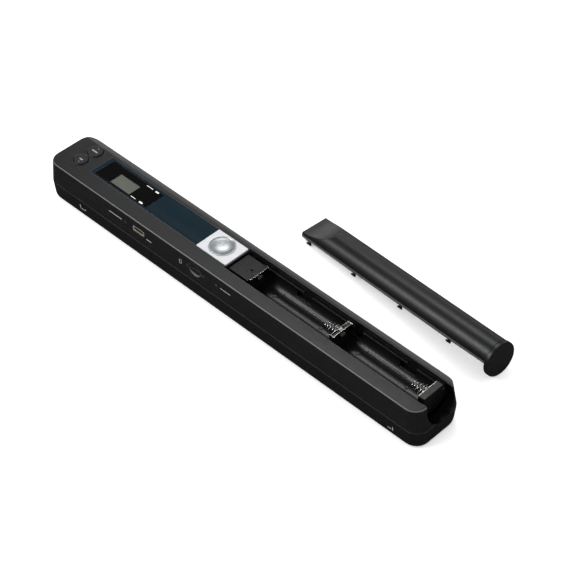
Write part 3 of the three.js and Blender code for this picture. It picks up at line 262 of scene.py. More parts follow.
    def slopes(self, most: float) -> bpy.types.NodeSocket:
        """A value that rises on rounded and bevelled edges which face between level and upright.

        Args:
            most: The value there.

        Returns:
            The value's socket.
        """
        split = self.add("ShaderNodeSeparateXYZ")
        geometry = self.add("ShaderNodeNewGeometry")
        self.link(geometry.outputs["Normal"], split.inputs["Vector"])
        off_level = self.spread(split.outputs["Z"], 0, most, *self.OFF_LEVEL)
        off_upright = self.spread(split.outputs["Z"], 0, 1, *self.OFF_UPRIGHT)
        return self.both(off_level, off_upright)

    def within_bore(self, middle: Pair, radius: float, reach: Pair) -> bpy.types.NodeSocket:
        """A value of one on the walls of a bore that runs along the wand, and zero elsewhere.

        Args:
            middle: Where the bore's axis lies, across and up.
            radius: The bore's radius.
            reach: Where the bore begins and ends along the wand.

        Returns:
            The value's socket.
        """
        from_axis = self.add("ShaderNodeMapping")
        from_axis.inputs["Scale"].default_value = (0, 1, 1)
        from_axis.inputs["Location"].default_value = (0, -middle[0], -middle[1])
        self.link(self.place, from_axis.inputs["Vector"])
        distance = self.add("ShaderNodeVectorMath", operation="LENGTH")
        self.link(from_axis.outputs["Vector"], distance.inputs[0])
        near = self.spread(distance.outputs["Value"], 1, 0, start=radius, end=radius + self.FADE)
        return self.both(near, self.band((1, 0, 0), reach))

    def band(self, up: Direction, heights: Pair) -> bpy.types.NodeSocket:
        """A value of one between two heights along a direction, and zero elsewhere.

        Args:
            up: The direction, one long.
            heights: The two heights.

        Returns:
            The value's socket.
        """
        height = self.add("ShaderNodeVectorMath", operation="DOT_PRODUCT")
        height.inputs[1].default_value = up
        self.link(self.place, height.inputs[0])
        level = height.outputs["Value"]
        low, high = heights
        above = self.spread(level, 0, 1, start=low, end=low + self.FADE)
        below = self.spread(level, 1, 0, start=high, end=high + self.FADE)
        return self.both(above, below)

    def both(self, first: bpy.types.NodeSocket, second: bpy.types.NodeSocket) -> bpy.types.NodeSocket:
        """Multiplies two values.

        Args:
            first: One value.
            second: The other value.

        Returns:
            The socket of their product.
        """
        product = self.add("ShaderNodeMath", operation="MULTIPLY")
        self.link(first, product.inputs[0])
        self.link(second, product.inputs[1])
        return product.outputs["Value"]

    def relief(
        self, height: bpy.types.NodeSocket, depth: float, under: bpy.types.NodeSocket | None = None
    ) -> bpy.types.NodeSocket:
        """Raises and lowers the surface by a height value.

        Args:
            height: The socket of a value from zero to one.
            depth: The height of one.
            under: A relief that this one lies on.

        Returns:
            The normal's socket.
        """
        bump = self.add("ShaderNodeBump")
        bump.inputs["Distance"].default_value = depth
        self.link(height, bump.inputs["Height"])
        if under is not None:
            self.link(under, bump.inputs["Normal"])
        return bump.outputs["Normal"]

    def feed(self, **sources: bpy.types.NodeSocket) -> None:
        """Joins sockets to the shader's inputs, whose names are given with underscores for spaces."""
        for name, source in sources.items():
            self.link(source, self.shader.inputs[name.replace("_", " ")])

    def fix(self, **values: float | Colour) -> None:
        """Sets values that are the same all over, on the shader's own sockets.

        Args:
            values: The values, by the sockets' names with underscores for spaces.
        """
        for name, value in values.items():
            socket = self.shader.inputs[name.replace("_", " ")]
            socket.default_value = (*value, 1) if isinstance(value, tuple) else value


@dataclass(frozen=True)
class Finish:
    """A finish that can be made into a material."""

    name: str

    def make(self) -> bpy.types.Material:
        """Builds the material.

        Returns:
            The new material.
        """
        sheet = NodeSheet(self.name)
        self.lay_out(sheet)
        return sheet.material

    def lay_out(self, sheet: NodeSheet) -> None:
        """Lays out the finish's nodes on a material's sheet."""
        raise NotImplementedError


@dataclass(frozen=True)
class RimHighlight:
    """A painted highlight: a lighter band round a moulding's rim, between two heights and two places along
    it, for the light that a ledge there catches.
    """

    shade: Colour
    up: Direction
    heights: Pair
    along: Direction
    reach: Pair


@dataclass(frozen=True)
class MouldedPlastic(Finish):
    """A moulded plastic with a fine grain, uneven gloss and lightly worn edges, and where given a painted
    highlight band along its rim.
    """

    shade: Colour
    far_shade: Colour
    gloss: Pair
    grain: float
    relief: float
    wear_and_highlight_shade: Colour
    specular: float = 0.5
    patch: float = 9 * MM
    wear_and_highlight_reach: float = 0.12 * MM
    rim: RimHighlight | None = None

    def lay_out(self, sheet: NodeSheet) -> None:
        """Lays out the nodes.

        Args:
            sheet: The material's sheet of nodes.
        """
        patches = sheet.noise(self.patch, detail=5)
        body = sheet.shades(sheet.spread(patches, 0, 1), self.shade, self.far_shade)
        # Painted highlight: a lighter band along the rim, where one is given.
        if self.rim is not None:
            heights = sheet.band(self.rim.up, self.rim.heights)
            rim = sheet.both(heights, sheet.band(self.rim.along, self.rim.reach))
            body = sheet.shades(rim, body, self.rim.shade)
        wear_and_highlight = sheet.shades(sheet.edge_wear_and_highlight(self.wear_and_highlight_reach), body, self.wear_and_highlight_shade)
        handling = sheet.noise(self.patch / 5, detail=6)
        coarse = sheet.relief(sheet.cells(self.grain), self.relief)
        fine = sheet.relief(sheet.noise(self.grain / 2, detail=2), self.relief / 2, coarse)
        sheet.feed(Base_Color=wear_and_highlight, Roughness=sheet.spread(handling, *self.gloss), Normal=fine)
        sheet.fix(Specular_IOR_Level=self.specular)


@dataclass(frozen=True)
class PaintedShell(Finish):
    """A charcoal shell paint with fine metal flakes over a spark-eroded grain, painted highlights on its
    edges and sloping bevels, and painted shade in the bore at the battery end.
    """

    shade: Colour
    far_shade: Colour
    flake_shade: Colour
    wear_and_highlight_shade: Colour
    gloss: Pair
    metal: float = 0.2
    specular: float = 0.5
    grain: float = 0.28 * MM
    relief: float = 0.003 * MM
    flake: float = 0.2 * MM
    flake_cover: Pair = (0.56, 0.74)
    patch: float = 22 * MM
    wear_and_highlight_reach: float = 0.35 * MM
    slope_highlight: float = 0.9
    edge: float = 0.2 * MM
    bore_middle: Pair = (1.6 * MM, 19.25 * MM)
    bore_radius: float = 9.7 * MM
    bore_reach: Pair = (121 * MM, 135 * MM)
    bore_painted_shade: Colour = (0.0024, 0.0024, 0.0026)

    def lay_out(self, sheet: NodeSheet) -> None:
        """Lays out the nodes.

        Args:
            sheet: The material's sheet of nodes.
        """
        patches = sheet.noise(self.patch, detail=4)
        body = sheet.shades(sheet.spread(patches, 0, 1), self.shade, self.far_shade)
        flakes = sheet.spread(sheet.noise(self.flake, detail=2), 0, 1, *self.flake_cover)
        flaked = sheet.shades(flakes, body, self.flake_shade)
        # Painted highlight: bevels and rounded edges that face between level and upright are lightened, as
        # where they catch the overhead light.
        slope_highlighted = sheet.shades(sheet.slopes(self.slope_highlight), flaked, self.wear_and_highlight_shade)
        # Lighter edges: partly wear, partly a painted highlight along the shell's edges.
        wear_and_highlight = sheet.shades(sheet.edge_wear_and_highlight(self.wear_and_highlight_reach), slope_highlighted, self.wear_and_highlight_shade)
        # Painted shade: the walls of the bore at the battery end are darkened, for the shade inside that
        # recess.
        bore = sheet.within_bore(self.bore_middle, self.bore_radius, self.bore_reach)
        shaded = sheet.shades(bore, wear_and_highlight, self.bore_painted_shade)
        handling = sheet.noise(self.patch / 6, detail=6)
        coarse = sheet.relief(sheet.cells(self.grain), self.relief, sheet.rounded(self.edge))
        fine = sheet.relief(sheet.noise(self.grain / 3, detail=2), self.relief / 3, coarse)
        sheet.feed(Base_Color=shaded, Roughness=sheet.spread(handling, *self.gloss), Normal=fine)
        sheet.fix(Metallic=self.metal, Specular_IOR_Level=self.specular)


@dataclass(frozen=True)
class PlatedMetal(Finish):
    """A bare or plated metal with fine marks along its lay and slight tarnish, and where asked, painted shade
    inside it beyond a given depth.
    """

    shade: Colour
    tarnish: Colour
    gloss: Pair
    mark: float = 0.15 * MM
    depth: float = 0.0012 * MM
    patch: float = 3 * MM
    lay: Lay = Lay.EVEN
    metal: float = 1
    painted_shade_from: float | None = None
    painted_shade_fade: float = 0.4 * MM
    inside_painted_shade: Colour = (0.012, 0.011, 0.01)

    def lay_out(self, sheet: NodeSheet) -> None:
        """Lays out the nodes.

        Args:
            sheet: The material's sheet of nodes.
        """
        patches = sheet.noise(self.patch, detail=5)
        body = sheet.shades(sheet.spread(patches, 0, 1), self.shade, self.tarnish)
        # Painted shade: deeper inside a socket the colour darkens, for the shade within it.
        if self.painted_shade_from is not None:
            inwards = sheet.add("ShaderNodeSeparateXYZ")
            sheet.link(sheet.place, inwards.inputs["Vector"])
            start, end = self.painted_shade_from, self.painted_shade_from + self.painted_shade_fade
            depth = sheet.spread(inwards.outputs["Y"], 0, 1, start=start, end=end)
            body = sheet.shades(depth, body, self.inside_painted_shade)
        if self.lay is Lay.ROUND:
            marks = sheet.rings(self.mark)
        else:
            marks = sheet.noise(self.mark, detail=4, lay=self.lay)
        sheet.feed(
            Base_Color=body,
            Roughness=sheet.spread(marks, *self.gloss),
            Normal=sheet.relief(marks, self.depth),
        )
        sheet.fix(Metallic=self.metal)


@dataclass(frozen=True)
class GlossSheet(Finish):
    """A flat glossy plastic sheet, with faint wiping marks in its gloss and a colour that drifts a little."""

    shade: Colour
    far_shade: Colour
    gloss: Pair
    specular: float = 0.5
    smear: float = 5 * MM
    ripple: float = 0.00125 * MM

    def lay_out(self, sheet: NodeSheet) -> None:
        """Lays out the nodes.

        Args:
            sheet: The material's sheet of nodes.
        """
        drift = sheet.noise(self.smear * 3, detail=3)
        smears = sheet.noise(self.smear, detail=7, lay=Lay.ALONG)
        ripple = sheet.relief(sheet.noise(self.smear, detail=2), self.ripple)
        sheet.feed(
            Base_Color=sheet.shades(sheet.spread(drift, 0, 1), self.shade, self.far_shade),
            Roughness=sheet.spread(smears, *self.gloss),
            Normal=ripple,
        )
        sheet.fix(Specular_IOR_Level=self.specular)


@dataclass(frozen=True)
class LiquidCrystal(Finish):
    """The unlit face of a small liquid crystal display: a fine grid of dots in grey green."""

    shade: Colour
    line_shade: Colour
    pitch: float = 0.35 * MM
    line: float = 0.06
    line_strength: float = 0.3
    cloud: float = 4.2 * MM
    cloud_strength: float = 0.25
    gloss: float = 0.25

    def lay_out(self, sheet: NodeSheet) -> None:
        """Lays out the nodes.

        Args:
            sheet: The material's sheet of nodes.
        """
        grid = sheet.add("ShaderNodeTexBrick", offset=0, squash=1)
        sizes = {"Scale": 1 / self.pitch, "Mortar Size": self.line, "Brick Width": 1, "Row Height": 1}
        sheet.preset(grid, sizes)
        sheet.link(sheet.place, grid.inputs["Vector"])
        cloud = sheet.noise(self.cloud, detail=2)
        soft = sheet.shades(sheet.spread(cloud, 0, self.cloud_strength), self.shade, self.line_shade)
        lines = sheet.add("ShaderNodeMath", operation="MULTIPLY")
        sheet.link(grid.outputs["Fac"], lines.inputs[0])
        lines.inputs[1].default_value = self.line_strength
        sheet.feed(Base_Color=sheet.shades(lines.outputs["Value"], soft, self.line_shade))
        sheet.fix(Roughness=self.gloss)


@dataclass(frozen=True)
class CircuitBoard(Finish):
    """Solder mask over copper traces, with bare pads here and there."""

    mask: Colour = (0.012, 0.07, 0.022)
    trace: Colour = (0.03, 0.16, 0.05)
    pad: Colour = (0.55, 0.42, 0.2)
    pitch: float = 1.6 * MM
    gap: float = 0.12
    pad_edge: Pair = (0.12, 0.16)
    gloss: Pair = (0.3, 0.45)

    def lay_out(self, sheet: NodeSheet) -> None:
        """Lays out the nodes.

        Args:
            sheet: The material's sheet of nodes.
        """
        traces = sheet.add("ShaderNodeTexBrick", offset=0.5)
        sheet.preset(traces, {"Scale": 1 / self.pitch, "Mortar Size": self.gap})
        sheet.link(sheet.place, traces.inputs["Vector"])
        pads = sheet.spread(sheet.cells(self.pitch * 2), 1, 0, *self.pad_edge)
        tracks = sheet.shades(traces.outputs["Fac"], self.mask, self.trace)
        sheet.feed(
            Base_Color=sheet.shades(pads, tracks, self.pad),
            Metallic=pads,
            Roughness=sheet.spread(sheet.noise(self.pitch), *self.gloss),
            Normal=sheet.relief(traces.outputs["Fac"], self.pitch / 60),
        )


@dataclass(frozen=True)
class RibbonFilm(Finish):
    """A white film with flat conductors that show through as fine stripes across its width."""

    film: Colour = (0.72, 0.7, 0.62)
    conductor: Colour = (0.42, 0.42, 0.4)
    pitch: float = 1 * MM
    stripe_edge: Pair = (0.4, 0.6)
    rise: float = 0.025 * MM
    gloss: Pair = (0.35, 0.5)

    def lay_out(self, sheet: NodeSheet) -> None:
        """Lays out the nodes.

        Args:
            sheet: The material's sheet of nodes.
        """
        stripes = sheet.add("ShaderNodeTexWave", wave_type="BANDS", bands_direction="X")
        stripes.inputs["Scale"].default_value = 1 / (3 * self.pitch)
        sheet.link(sheet.place, stripes.inputs["Vector"])
        level = sheet.spread(stripes.outputs["Fac"], 0, 1, *self.stripe_edge)
        sheet.feed(
            Base_Color=sheet.shades(level, self.film, self.conductor),
            Roughness=sheet.spread(sheet.noise(self.pitch * 4), *self.gloss),
            Normal=sheet.relief(level, self.rise),
        )


@dataclass(frozen=True)
class ClearMoulding(Finish):
    """A clear moulding, such as glass or acrylic, with faint dust in its gloss."""

    shade: Colour
    gloss: Pair = (0.02, 0.12)
    index: float = 1.49
    dust: float = 2 * MM
    dust_share: float = 0.3
    dust_shade: Colour = (0.9, 0.9, 0.9)

    def lay_out(self, sheet: NodeSheet) -> None:
        """Lays out the nodes.

        Args:
            sheet: The material's sheet of nodes.
        """
        dust = sheet.noise(self.dust, detail=6)
        tint = sheet.shades(sheet.spread(dust, 0, self.dust_share), self.shade, self.dust_shade)
        sheet.feed(Base_Color=tint, Roughness=sheet.spread(dust, *self.gloss))
        sheet.fix(Transmission_Weight=1.0, IOR=self.index)


@dataclass(frozen=True)
class Ink(Finish):
    """Printed ink, a little uneven in its cover."""

    shade: Colour
    thin_shade: Colour
    patch: float = 0.5 * MM
    gloss: Pair = (0.5, 0.65)
    relief: float = 0.01 * MM

    def lay_out(self, sheet: NodeSheet) -> None:
        """Lays out the nodes.

        Args:
            sheet: The material's sheet of nodes.
        """
        cover = sheet.noise(self.patch, detail=4)
        sheet.feed(
            Base_Color=sheet.shades(sheet.spread(cover, 0, 1), self.shade, self.thin_shade),
            Roughness=sheet.spread(cover, *self.gloss),
            Normal=sheet.relief(cover, self.relief),
        )


# The light edge shade of the top shell paints highlights along its bevels and rounded edges, besides some
# wear.
CASING_TOP = PaintedShell(
    name="casing_top",
    shade=(0.0036, 0.0038, 0.0043),
    far_shade=(0.0026, 0.0028, 0.0032),
    flake_shade=(0.036, 0.036, 0.038),
    wear_and_highlight_shade=(0.11, 0.11, 0.113),
    gloss=(0.34, 0.4),
    metal=0.05,
    specular=0.42,
)
CASING_BOTTOM = PaintedShell(
    name="casing_bottom",
    shade=(0.0036, 0.0037, 0.004),
    far_shade=(0.0026, 0.0028, 0.003),
    flake_shade=(0.016, 0.016, 0.0165),
    wear_and_highlight_shade=(0.012, 0.012, 0.0125),
    gloss=(0.36, 0.44),
    metal=0.03,
    specular=0.4,
    slope_highlight=0.2,
)
TRAY_BLACK = MouldedPlastic(
    name="tray_black",
    shade=(0.0045, 0.0045, 0.0048),
    far_shade=(0.003, 0.003, 0.0031),
    gloss=(0.26, 0.32),
    grain=0.4 * MM,
    relief=0.0006 * MM,
    wear_and_highlight_shade=(0.03, 0.03, 0.03),
    specular=0.36,
)
# Painted highlight along the loose cover's lower rim. The loose cover lies tilted and turned, so its rim is
# found along the cover's own two directions
COVER_RIM_HIGHLIGHT = RimHighlight(
    shade=(0.085, 0.087, 0.085),
    up=(-0.06325, 0.00483, 0.99799),
    heights=(3.15 * MM, 4.6 * MM),
    along=(0.9951, -0.07605, 0.06344),
    reach=(-20 * MM, 116.7 * MM),
)
COVER_BLACK = MouldedPlastic(
    name="cover_black",
    shade=(0.0062, 0.0066, 0.0068),
    far_shade=(0.0045, 0.0048, 0.005),
    gloss=(0.36, 0.42),
    grain=0.3 * MM,
    relief=0.0015 * MM,
    wear_and_highlight_shade=(0.05, 0.051, 0.051),
    wear_and_highlight_reach=0.25 * MM,
    rim=COVER_RIM_HIGHLIGHT,
)
KEY_BLACK = MouldedPlastic(
    name="key_black",
    shade=(0.006, 0.0062, 0.0068),
    far_shade=(0.0045, 0.0047, 0.005),
    gloss=(0.36, 0.42),
    grain=0.2 * MM,
    relief=0.002 * MM,
    wear_and_highlight_shade=(0.02, 0.02, 0.021),
    specular=0.42,
)
MOULDING_BLACK = MouldedPlastic(
    name="moulding_black",
    shade=(0.012, 0.012, 0.012),
    far_shade=(0.008, 0.008, 0.008),
    gloss=(0.4, 0.55),
    grain=0.3 * MM,
    relief=0.004 * MM,
    wear_and_highlight_shade=(0.03, 0.03, 0.03),
)
RUBBER = MouldedPlastic(
    name="rubber",
    shade=(0.018, 0.018, 0.019),
    far_shade=(0.03, 0.03, 0.03),
    gloss=(0.7, 0.88),
    grain=0.4 * MM,
    relief=0.02 * MM,
    wear_and_highlight_shade=(0.05, 0.05, 0.05),
    specular=0.3,
)
# Painted shade: the bush is given a dark grey, darker than the pale bush itself, for the shade of the recess
# that it sits in.
BUSHING = MouldedPlastic(
    name="bushing",
    shade=(0.04, 0.039, 0.036),
    far_shade=(0.03, 0.029, 0.027),
    gloss=(0.4, 0.55),
    grain=0.3 * MM,
    relief=0.004 * MM,
    wear_and_highlight_shade=(0.06, 0.059, 0.055),
)
LIGHT_WHITE = MouldedPlastic(
    name="light_white",
    shade=(0.82, 0.82, 0.8),
    far_shade=(0.74, 0.74, 0.73),
    gloss=(0.3, 0.4),
    grain=0.3 * MM,
    relief=0.002 * MM,
    wear_and_highlight_shade=(0.85, 0.85, 0.84),
)
STRIP_NAVY = GlossSheet(
    name="strip_navy",
    shade=(0.0055, 0.015, 0.0225),
    far_shade=(0.0045, 0.0125, 0.019),
    gloss=(0.12, 0.18),
    specular=0.4,
)
LENS_BLACK = GlossSheet(
    name="lens_black",
    shade=(0.0025, 0.0025, 0.0028),
    far_shade=(0.003, 0.003, 0.003),
    gloss=(0.04, 0.1),
    specular=0.3,
)
DISPLAY_GREY = LiquidCrystal(
    name="display_grey",
    shade=(0.088, 0.095, 0.076),
    line_shade=(0.055, 0.06, 0.048),
)
PLATE_SILVER = PlatedMetal(
    name="plate_silver",
    shade=(0.66, 0.67, 0.685),
    tarnish=(0.59, 0.6, 0.62),
    gloss=(0.4, 0.5),
    lay=Lay.ALONG,
    metal=0.5,
)
BUTTON_SILVER = PlatedMetal(
    name="button_silver",
    shade=(0.6, 0.63, 0.65),
    tarnish=(0.42, 0.45, 0.47),
    gloss=(0.3, 0.42),
    mark=0.3 * MM,
    depth=0.003 * MM,
    patch=1.6 * MM,
    lay=Lay.ROUND,
    metal=0.8,
)
CONTACT_NICKEL = PlatedMetal(
    name="contact_nickel",
    shade=(0.52, 0.51, 0.485),
    tarnish=(0.4, 0.385, 0.35),
    gloss=(0.1, 0.16),
    mark=0.5 * MM,
    depth=0.0002 * MM,
)
SPRING_NICKEL = PlatedMetal(
    name="spring_nickel",
    shade=(0.72, 0.715, 0.7),
    tarnish=(0.6, 0.59, 0.57),
    gloss=(0.14, 0.2),
    mark=0.5 * MM,
    depth=0.0002 * MM,
)
# The port's inside is painted dark behind its mouth, as painted shade.
PORT_STEEL = PlatedMetal(
    name="port_steel",
    shade=(0.55, 0.49, 0.39),
    tarnish=(0.44, 0.38, 0.29),
    gloss=(0.3, 0.4),
    metal=0.5,
    painted_shade_from=-14.75 * MM,
)
SOCKET_STEEL = PlatedMetal(
    name="socket_steel",
    shade=(0.66, 0.65, 0.62),
    tarnish=(0.56, 0.54, 0.5),
    gloss=(0.2, 0.32),
)
SCREW_STEEL = PlatedMetal(
    name="screw_steel",
    shade=(0.5, 0.5, 0.5),
    tarnish=(0.4, 0.4, 0.41),
    gloss=(0.28, 0.4),
)
DOME_STEEL = PlatedMetal(
    name="dome_steel",
    shade=(0.7, 0.7, 0.7),
    tarnish=(0.62, 0.62, 0.63),
    gloss=(0.2, 0.3),
)
SHAFT_STEEL = PlatedMetal(
    name="shaft_steel",
    shade=(0.62, 0.62, 0.63),
    tarnish=(0.52, 0.52, 0.54),
    gloss=(0.16, 0.28),
    lay=Lay.ACROSS,
)
BOARD_GREEN = CircuitBoard(name="board_green")
RIBBON_WHITE = RibbonFilm(name="ribbon_film")
SENSOR_GLASS = ClearMoulding(name="sensor_glass_clear", shade=(0.86, 0.93, 0.92), index=1.52)
ACRYLIC = ClearMoulding(name="acrylic", shade=(0.9, 0.95, 0.96))
WHITE_INK = Ink(name="white_ink", shade=(0.8, 0.8, 0.8), thin_shade=(0.66, 0.66, 0.66))
GREY_INK = Ink(name="grey_ink", shade=(0.3, 0.3, 0.3), thin_shade=(0.22, 0.22, 0.22))


class Wardrobe:
    """Keeps one material for each finish, made when it is first asked for."""

    def __init__(self) -> None:
        """Starts with no materials."""
        self.made: dict[str, bpy.types.Material] = {}

    def material(self, finish: Finish) -> bpy.types.Material:
        """The material of a finish.

        Args:
            finish: The finish.

        Returns:
            Its material, the same one each time.
        """
        if finish.name not in self.made:
            self.made[finish.name] = finish.make()
        return self.made[finish.name]

    def dress(self, piece: bpy.types.Object, finish: Finish) -> None:
        """Gives a piece a finish.

        Args:
            piece: A new piece or a node of the frame.
            finish: The finish.
        """
        material = self.material(finish)
        if not piece.material_slots:
            piece.data.materials.append(material)
        for slot in piece.material_slots:
            slot.link = "OBJECT"
            slot.material = material


WARDROBE = Wardrobe()


def weld(node: bpy.types.Object) -> None:
    """Joins the corners of a node's faces."""
    joined = node.modifiers.new("joined_corners", "WELD")
    joined.merge_threshold = WELD_REACH


def soften(node: bpy.types.Object, width: float) -> None:
    """Rounds a node's hard edges, as a mould does, without moving its faces.

    Args:
        node: A node of the frame, or a new piece.
        width: The width of the rounding.
    """
    weld(node)
    whole = node.modifiers.new("whole_faces", "DECIMATE")
    whole.decimate_type = "DISSOLVE"
    whole.angle_limit = FLAT_BEND
    bevel = node.modifiers.new("soft_edges", "BEVEL")
    bevel.width = width
    bevel.segments = ROUNDING_STEPS
    bevel.limit_method = "ANGLE"
    bevel.angle_limit = EDGE_BEND
    bevel.use_clamp_overlap = False
    smooth(node)


def smooth(node: bpy.types.Object) -> None:
    """Shades a node's round faces smoothly, and its broad faces flat.

    Args:
        node: A node of the frame, or a new piece.
    """
    even = node.modifiers.new("even_faces", "WEIGHTED_NORMAL")
    even.weight = 100
    even.keep_sharp = False
    for polygon in node.data.polygons:
        polygon.use_smooth = True


def smooth_between_edges(node: bpy.types.Object) -> None:
    """Shades a node smoothly but for its hard edges.

    Args:
        node: A node of the frame, or a new piece.
    """
    weld(node)
    split = node.modifiers.new("hard_edges", "EDGE_SPLIT")
    split.split_angle = HARD_BEND
    smooth(node)


def new_piece(
    name: str,
    points: Sequence[Sequence[float]],
    faces: Sequence[Sequence[int]],
    body: str,
    finish: Finish,
    origin: Vector = Vector((0, 0, 0)),
) -> bpy.types.Object:
    """Makes a mesh piece that rides on a body.

    Args:
        name: The piece's name.
        points: The mesh's points, from the origin.
        faces: The point numbers of each face.
        body: The body that it moves with.
        finish: Its finish.
        origin: The piece's own origin in the frame.

    Returns:
        The new object.
    """
    mesh = bpy.data.meshes.new(name)
    mesh.from_pydata([tuple(point) for point in points], [], [tuple(face) for face in faces])
    tidy = bmesh.new()
    tidy.from_mesh(mesh)
    bmesh.ops.recalc_face_normals(tidy, faces=tidy.faces)
    for face in tidy.faces:
        face.smooth = True
    tidy.to_mesh(mesh)
    tidy.free()
    piece = bpy.data.objects.new(name, mesh)
    piece.location = origin
    bpy.context.scene.collection.objects.link(piece)
    WARDROBE.dress(piece, finish)
    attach(piece, body)
    LOG.info("%s: %d faces, on %s", name, len(mesh.polygons), body)
    return piece


def tube(path: Sequence[Vector], radius: float, sides: int) -> tuple[list[Vector], list[list[int]]]:
    """A round wire along a path.

    Args:
        path: The wire's middle line.
        radius: The wire's radius.
        sides: The sides of its section.

    Returns:
        The points and faces of the closed tube.
    """
    points: list[Vector] = []
    across = Vector((0, 0, 1))
    for index, place in enumerate(path):
        before = path[max(index - 1, 0)]
        after = path[min(index + 1, len(path) - 1)]
        along = (after - before).normalized()
        across = (across - along * across.dot(along)).normalized()
        other = along.cross(across)
        for side in range(sides):
            angle = side / sides * math.tau
            points.append(place + radius * (across * math.cos(angle) + other * math.sin(angle)))
    faces = []
    for row in range(len(path) - 1):
        for side in range(sides):
            here = row * sides + side
            beside = row * sides + (side + 1) % sides
            faces.append([here, beside, beside + sides, here + sides])
    last = (len(path) - 1) * sides
    faces.append(list(range(sides - 1, -1, -1)))
    faces.append([last + side for side in range(sides)])
    return points, faces


def turned(profile: Sequence[Pair], steps: int) -> tuple[list[Vector], list[list[int]]]:
    """A form turned about the upright axis.

    Args:
        profile: Radius and height of each point, from the middle below round to the middle above.
        steps: The steps of a whole turn.

    Returns:
        The points and faces of the closed form.
    """
    points = [Vector((0, 0, profile[0][1]))]
    rings = profile[1:-1]
    for radius, height in rings:
        for step in range(steps):
            angle = step / steps * math.tau
            points.append(Vector((radius * math.cos(angle), radius * math.sin(angle), height)))
    points.append(Vector((0, 0, profile[-1][1])))
    top = len(points) - 1
    faces = []
    for step in range(steps):
        beside = (step + 1) % steps
        faces.append([0, 1 + beside, 1 + step])
        for row in range(len(rings) - 1):
            low = 1 + row * steps
            faces.append([low + step, low + beside, low + steps + beside, low + steps + step])
        high = 1 + (len(rings) - 1) * steps
        faces.append([high + step, high + beside, top])
    return points, faces


def surface_point(node: str, outside: Vector, direction: Vector) -> tuple[Vector, Vector]:
    """Where a straight line meets a node's surface.

    Args:
        node: The node's name.
        outside: A point outside the node.
        direction: The direction of the line.

    Returns:
        The point and the surface's normal there.
    """
    hit, place, normal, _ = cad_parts[node].ray_cast(outside, direction.normalized())
    if not hit:
        raise ValueError(f"no surface of {node} there")
    return place, normal


@dataclass(frozen=True)
class PrintedMark:
    """One plain printed shape, laid flat on a node's surface."""

    name: str
    node: str
    side: Side
    outline: tuple[Pair, ...]
    finish: Finish
    body: str = READER
    thickness: float = 0.02 * MM
    reach: float = 60 * MM

    def place(self, across: float, up: float) -> tuple[Vector, Vector]:
        """Finds a point of the outline on the surface.

        Args:
            across: The point's place across, as seen from its side.
            up: The point's place up, as seen from its side.

        Returns:
            The point and the surface's normal there.
        """
        if self.side is Side.TOP:
            start = Vector((across, up, self.reach))
        else:
            start = Vector((across, self.side.value.y * self.reach, up))
        return surface_point(self.node, start, -self.side.value)

    def build(self) -> bpy.types.Object:
        """Builds the mark as a thin plate of ink.

        Returns:
            The new piece.
        """
        count = len(self.outline)
        feet, tops = [], []
        for across, up in self.outline:
            point, normal = self.place(across, up)
            feet.append(point - normal * self.thickness)
            tops.append(point + normal * self.thickness)
        faces = [list(range(count)), [count + number for number in range(count)]]
        for number in range(count):
            beside = (number + 1) % count
            faces.append([number, beside, count + beside, count + number])
        piece = new_piece(self.name, feet + tops, faces, self.body, self.finish)
        for polygon in piece.data.polygons:
            polygon.use_smooth = False
        return piece


def bar(x: Pair, up: Pair) -> tuple[Pair, ...]:
    """The outline of an upright rectangle."""
    return ((x[0], up[0]), (x[1], up[0]), (x[1], up[1]), (x[0], up[1]))


def disc(x: float, up: float, radius: float, steps: int = 16) -> tuple[Pair, ...]:
    """The outline of a round dot."""
    angles = [step / steps * math.tau for step in range(steps)]
    return tuple((x + radius * math.cos(angle), up + radius * math.sin(angle)) for angle in angles)


@dataclass
class Casing:
    """The upper and lower casing: soft moulded edges and the shell paint."""

    lower_edge: float = 0.14 * MM

    def build(self) -> None:
        """Dresses both casing halves."""
        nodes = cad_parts
        smooth_between_edges(nodes["upper_casing"])
        soften(nodes["lower_casing"], self.lower_edge)
        WARDROBE.dress(nodes["upper_casing"], CASING_TOP)
        WARDROBE.dress(nodes["lower_casing"], CASING_BOTTOM)


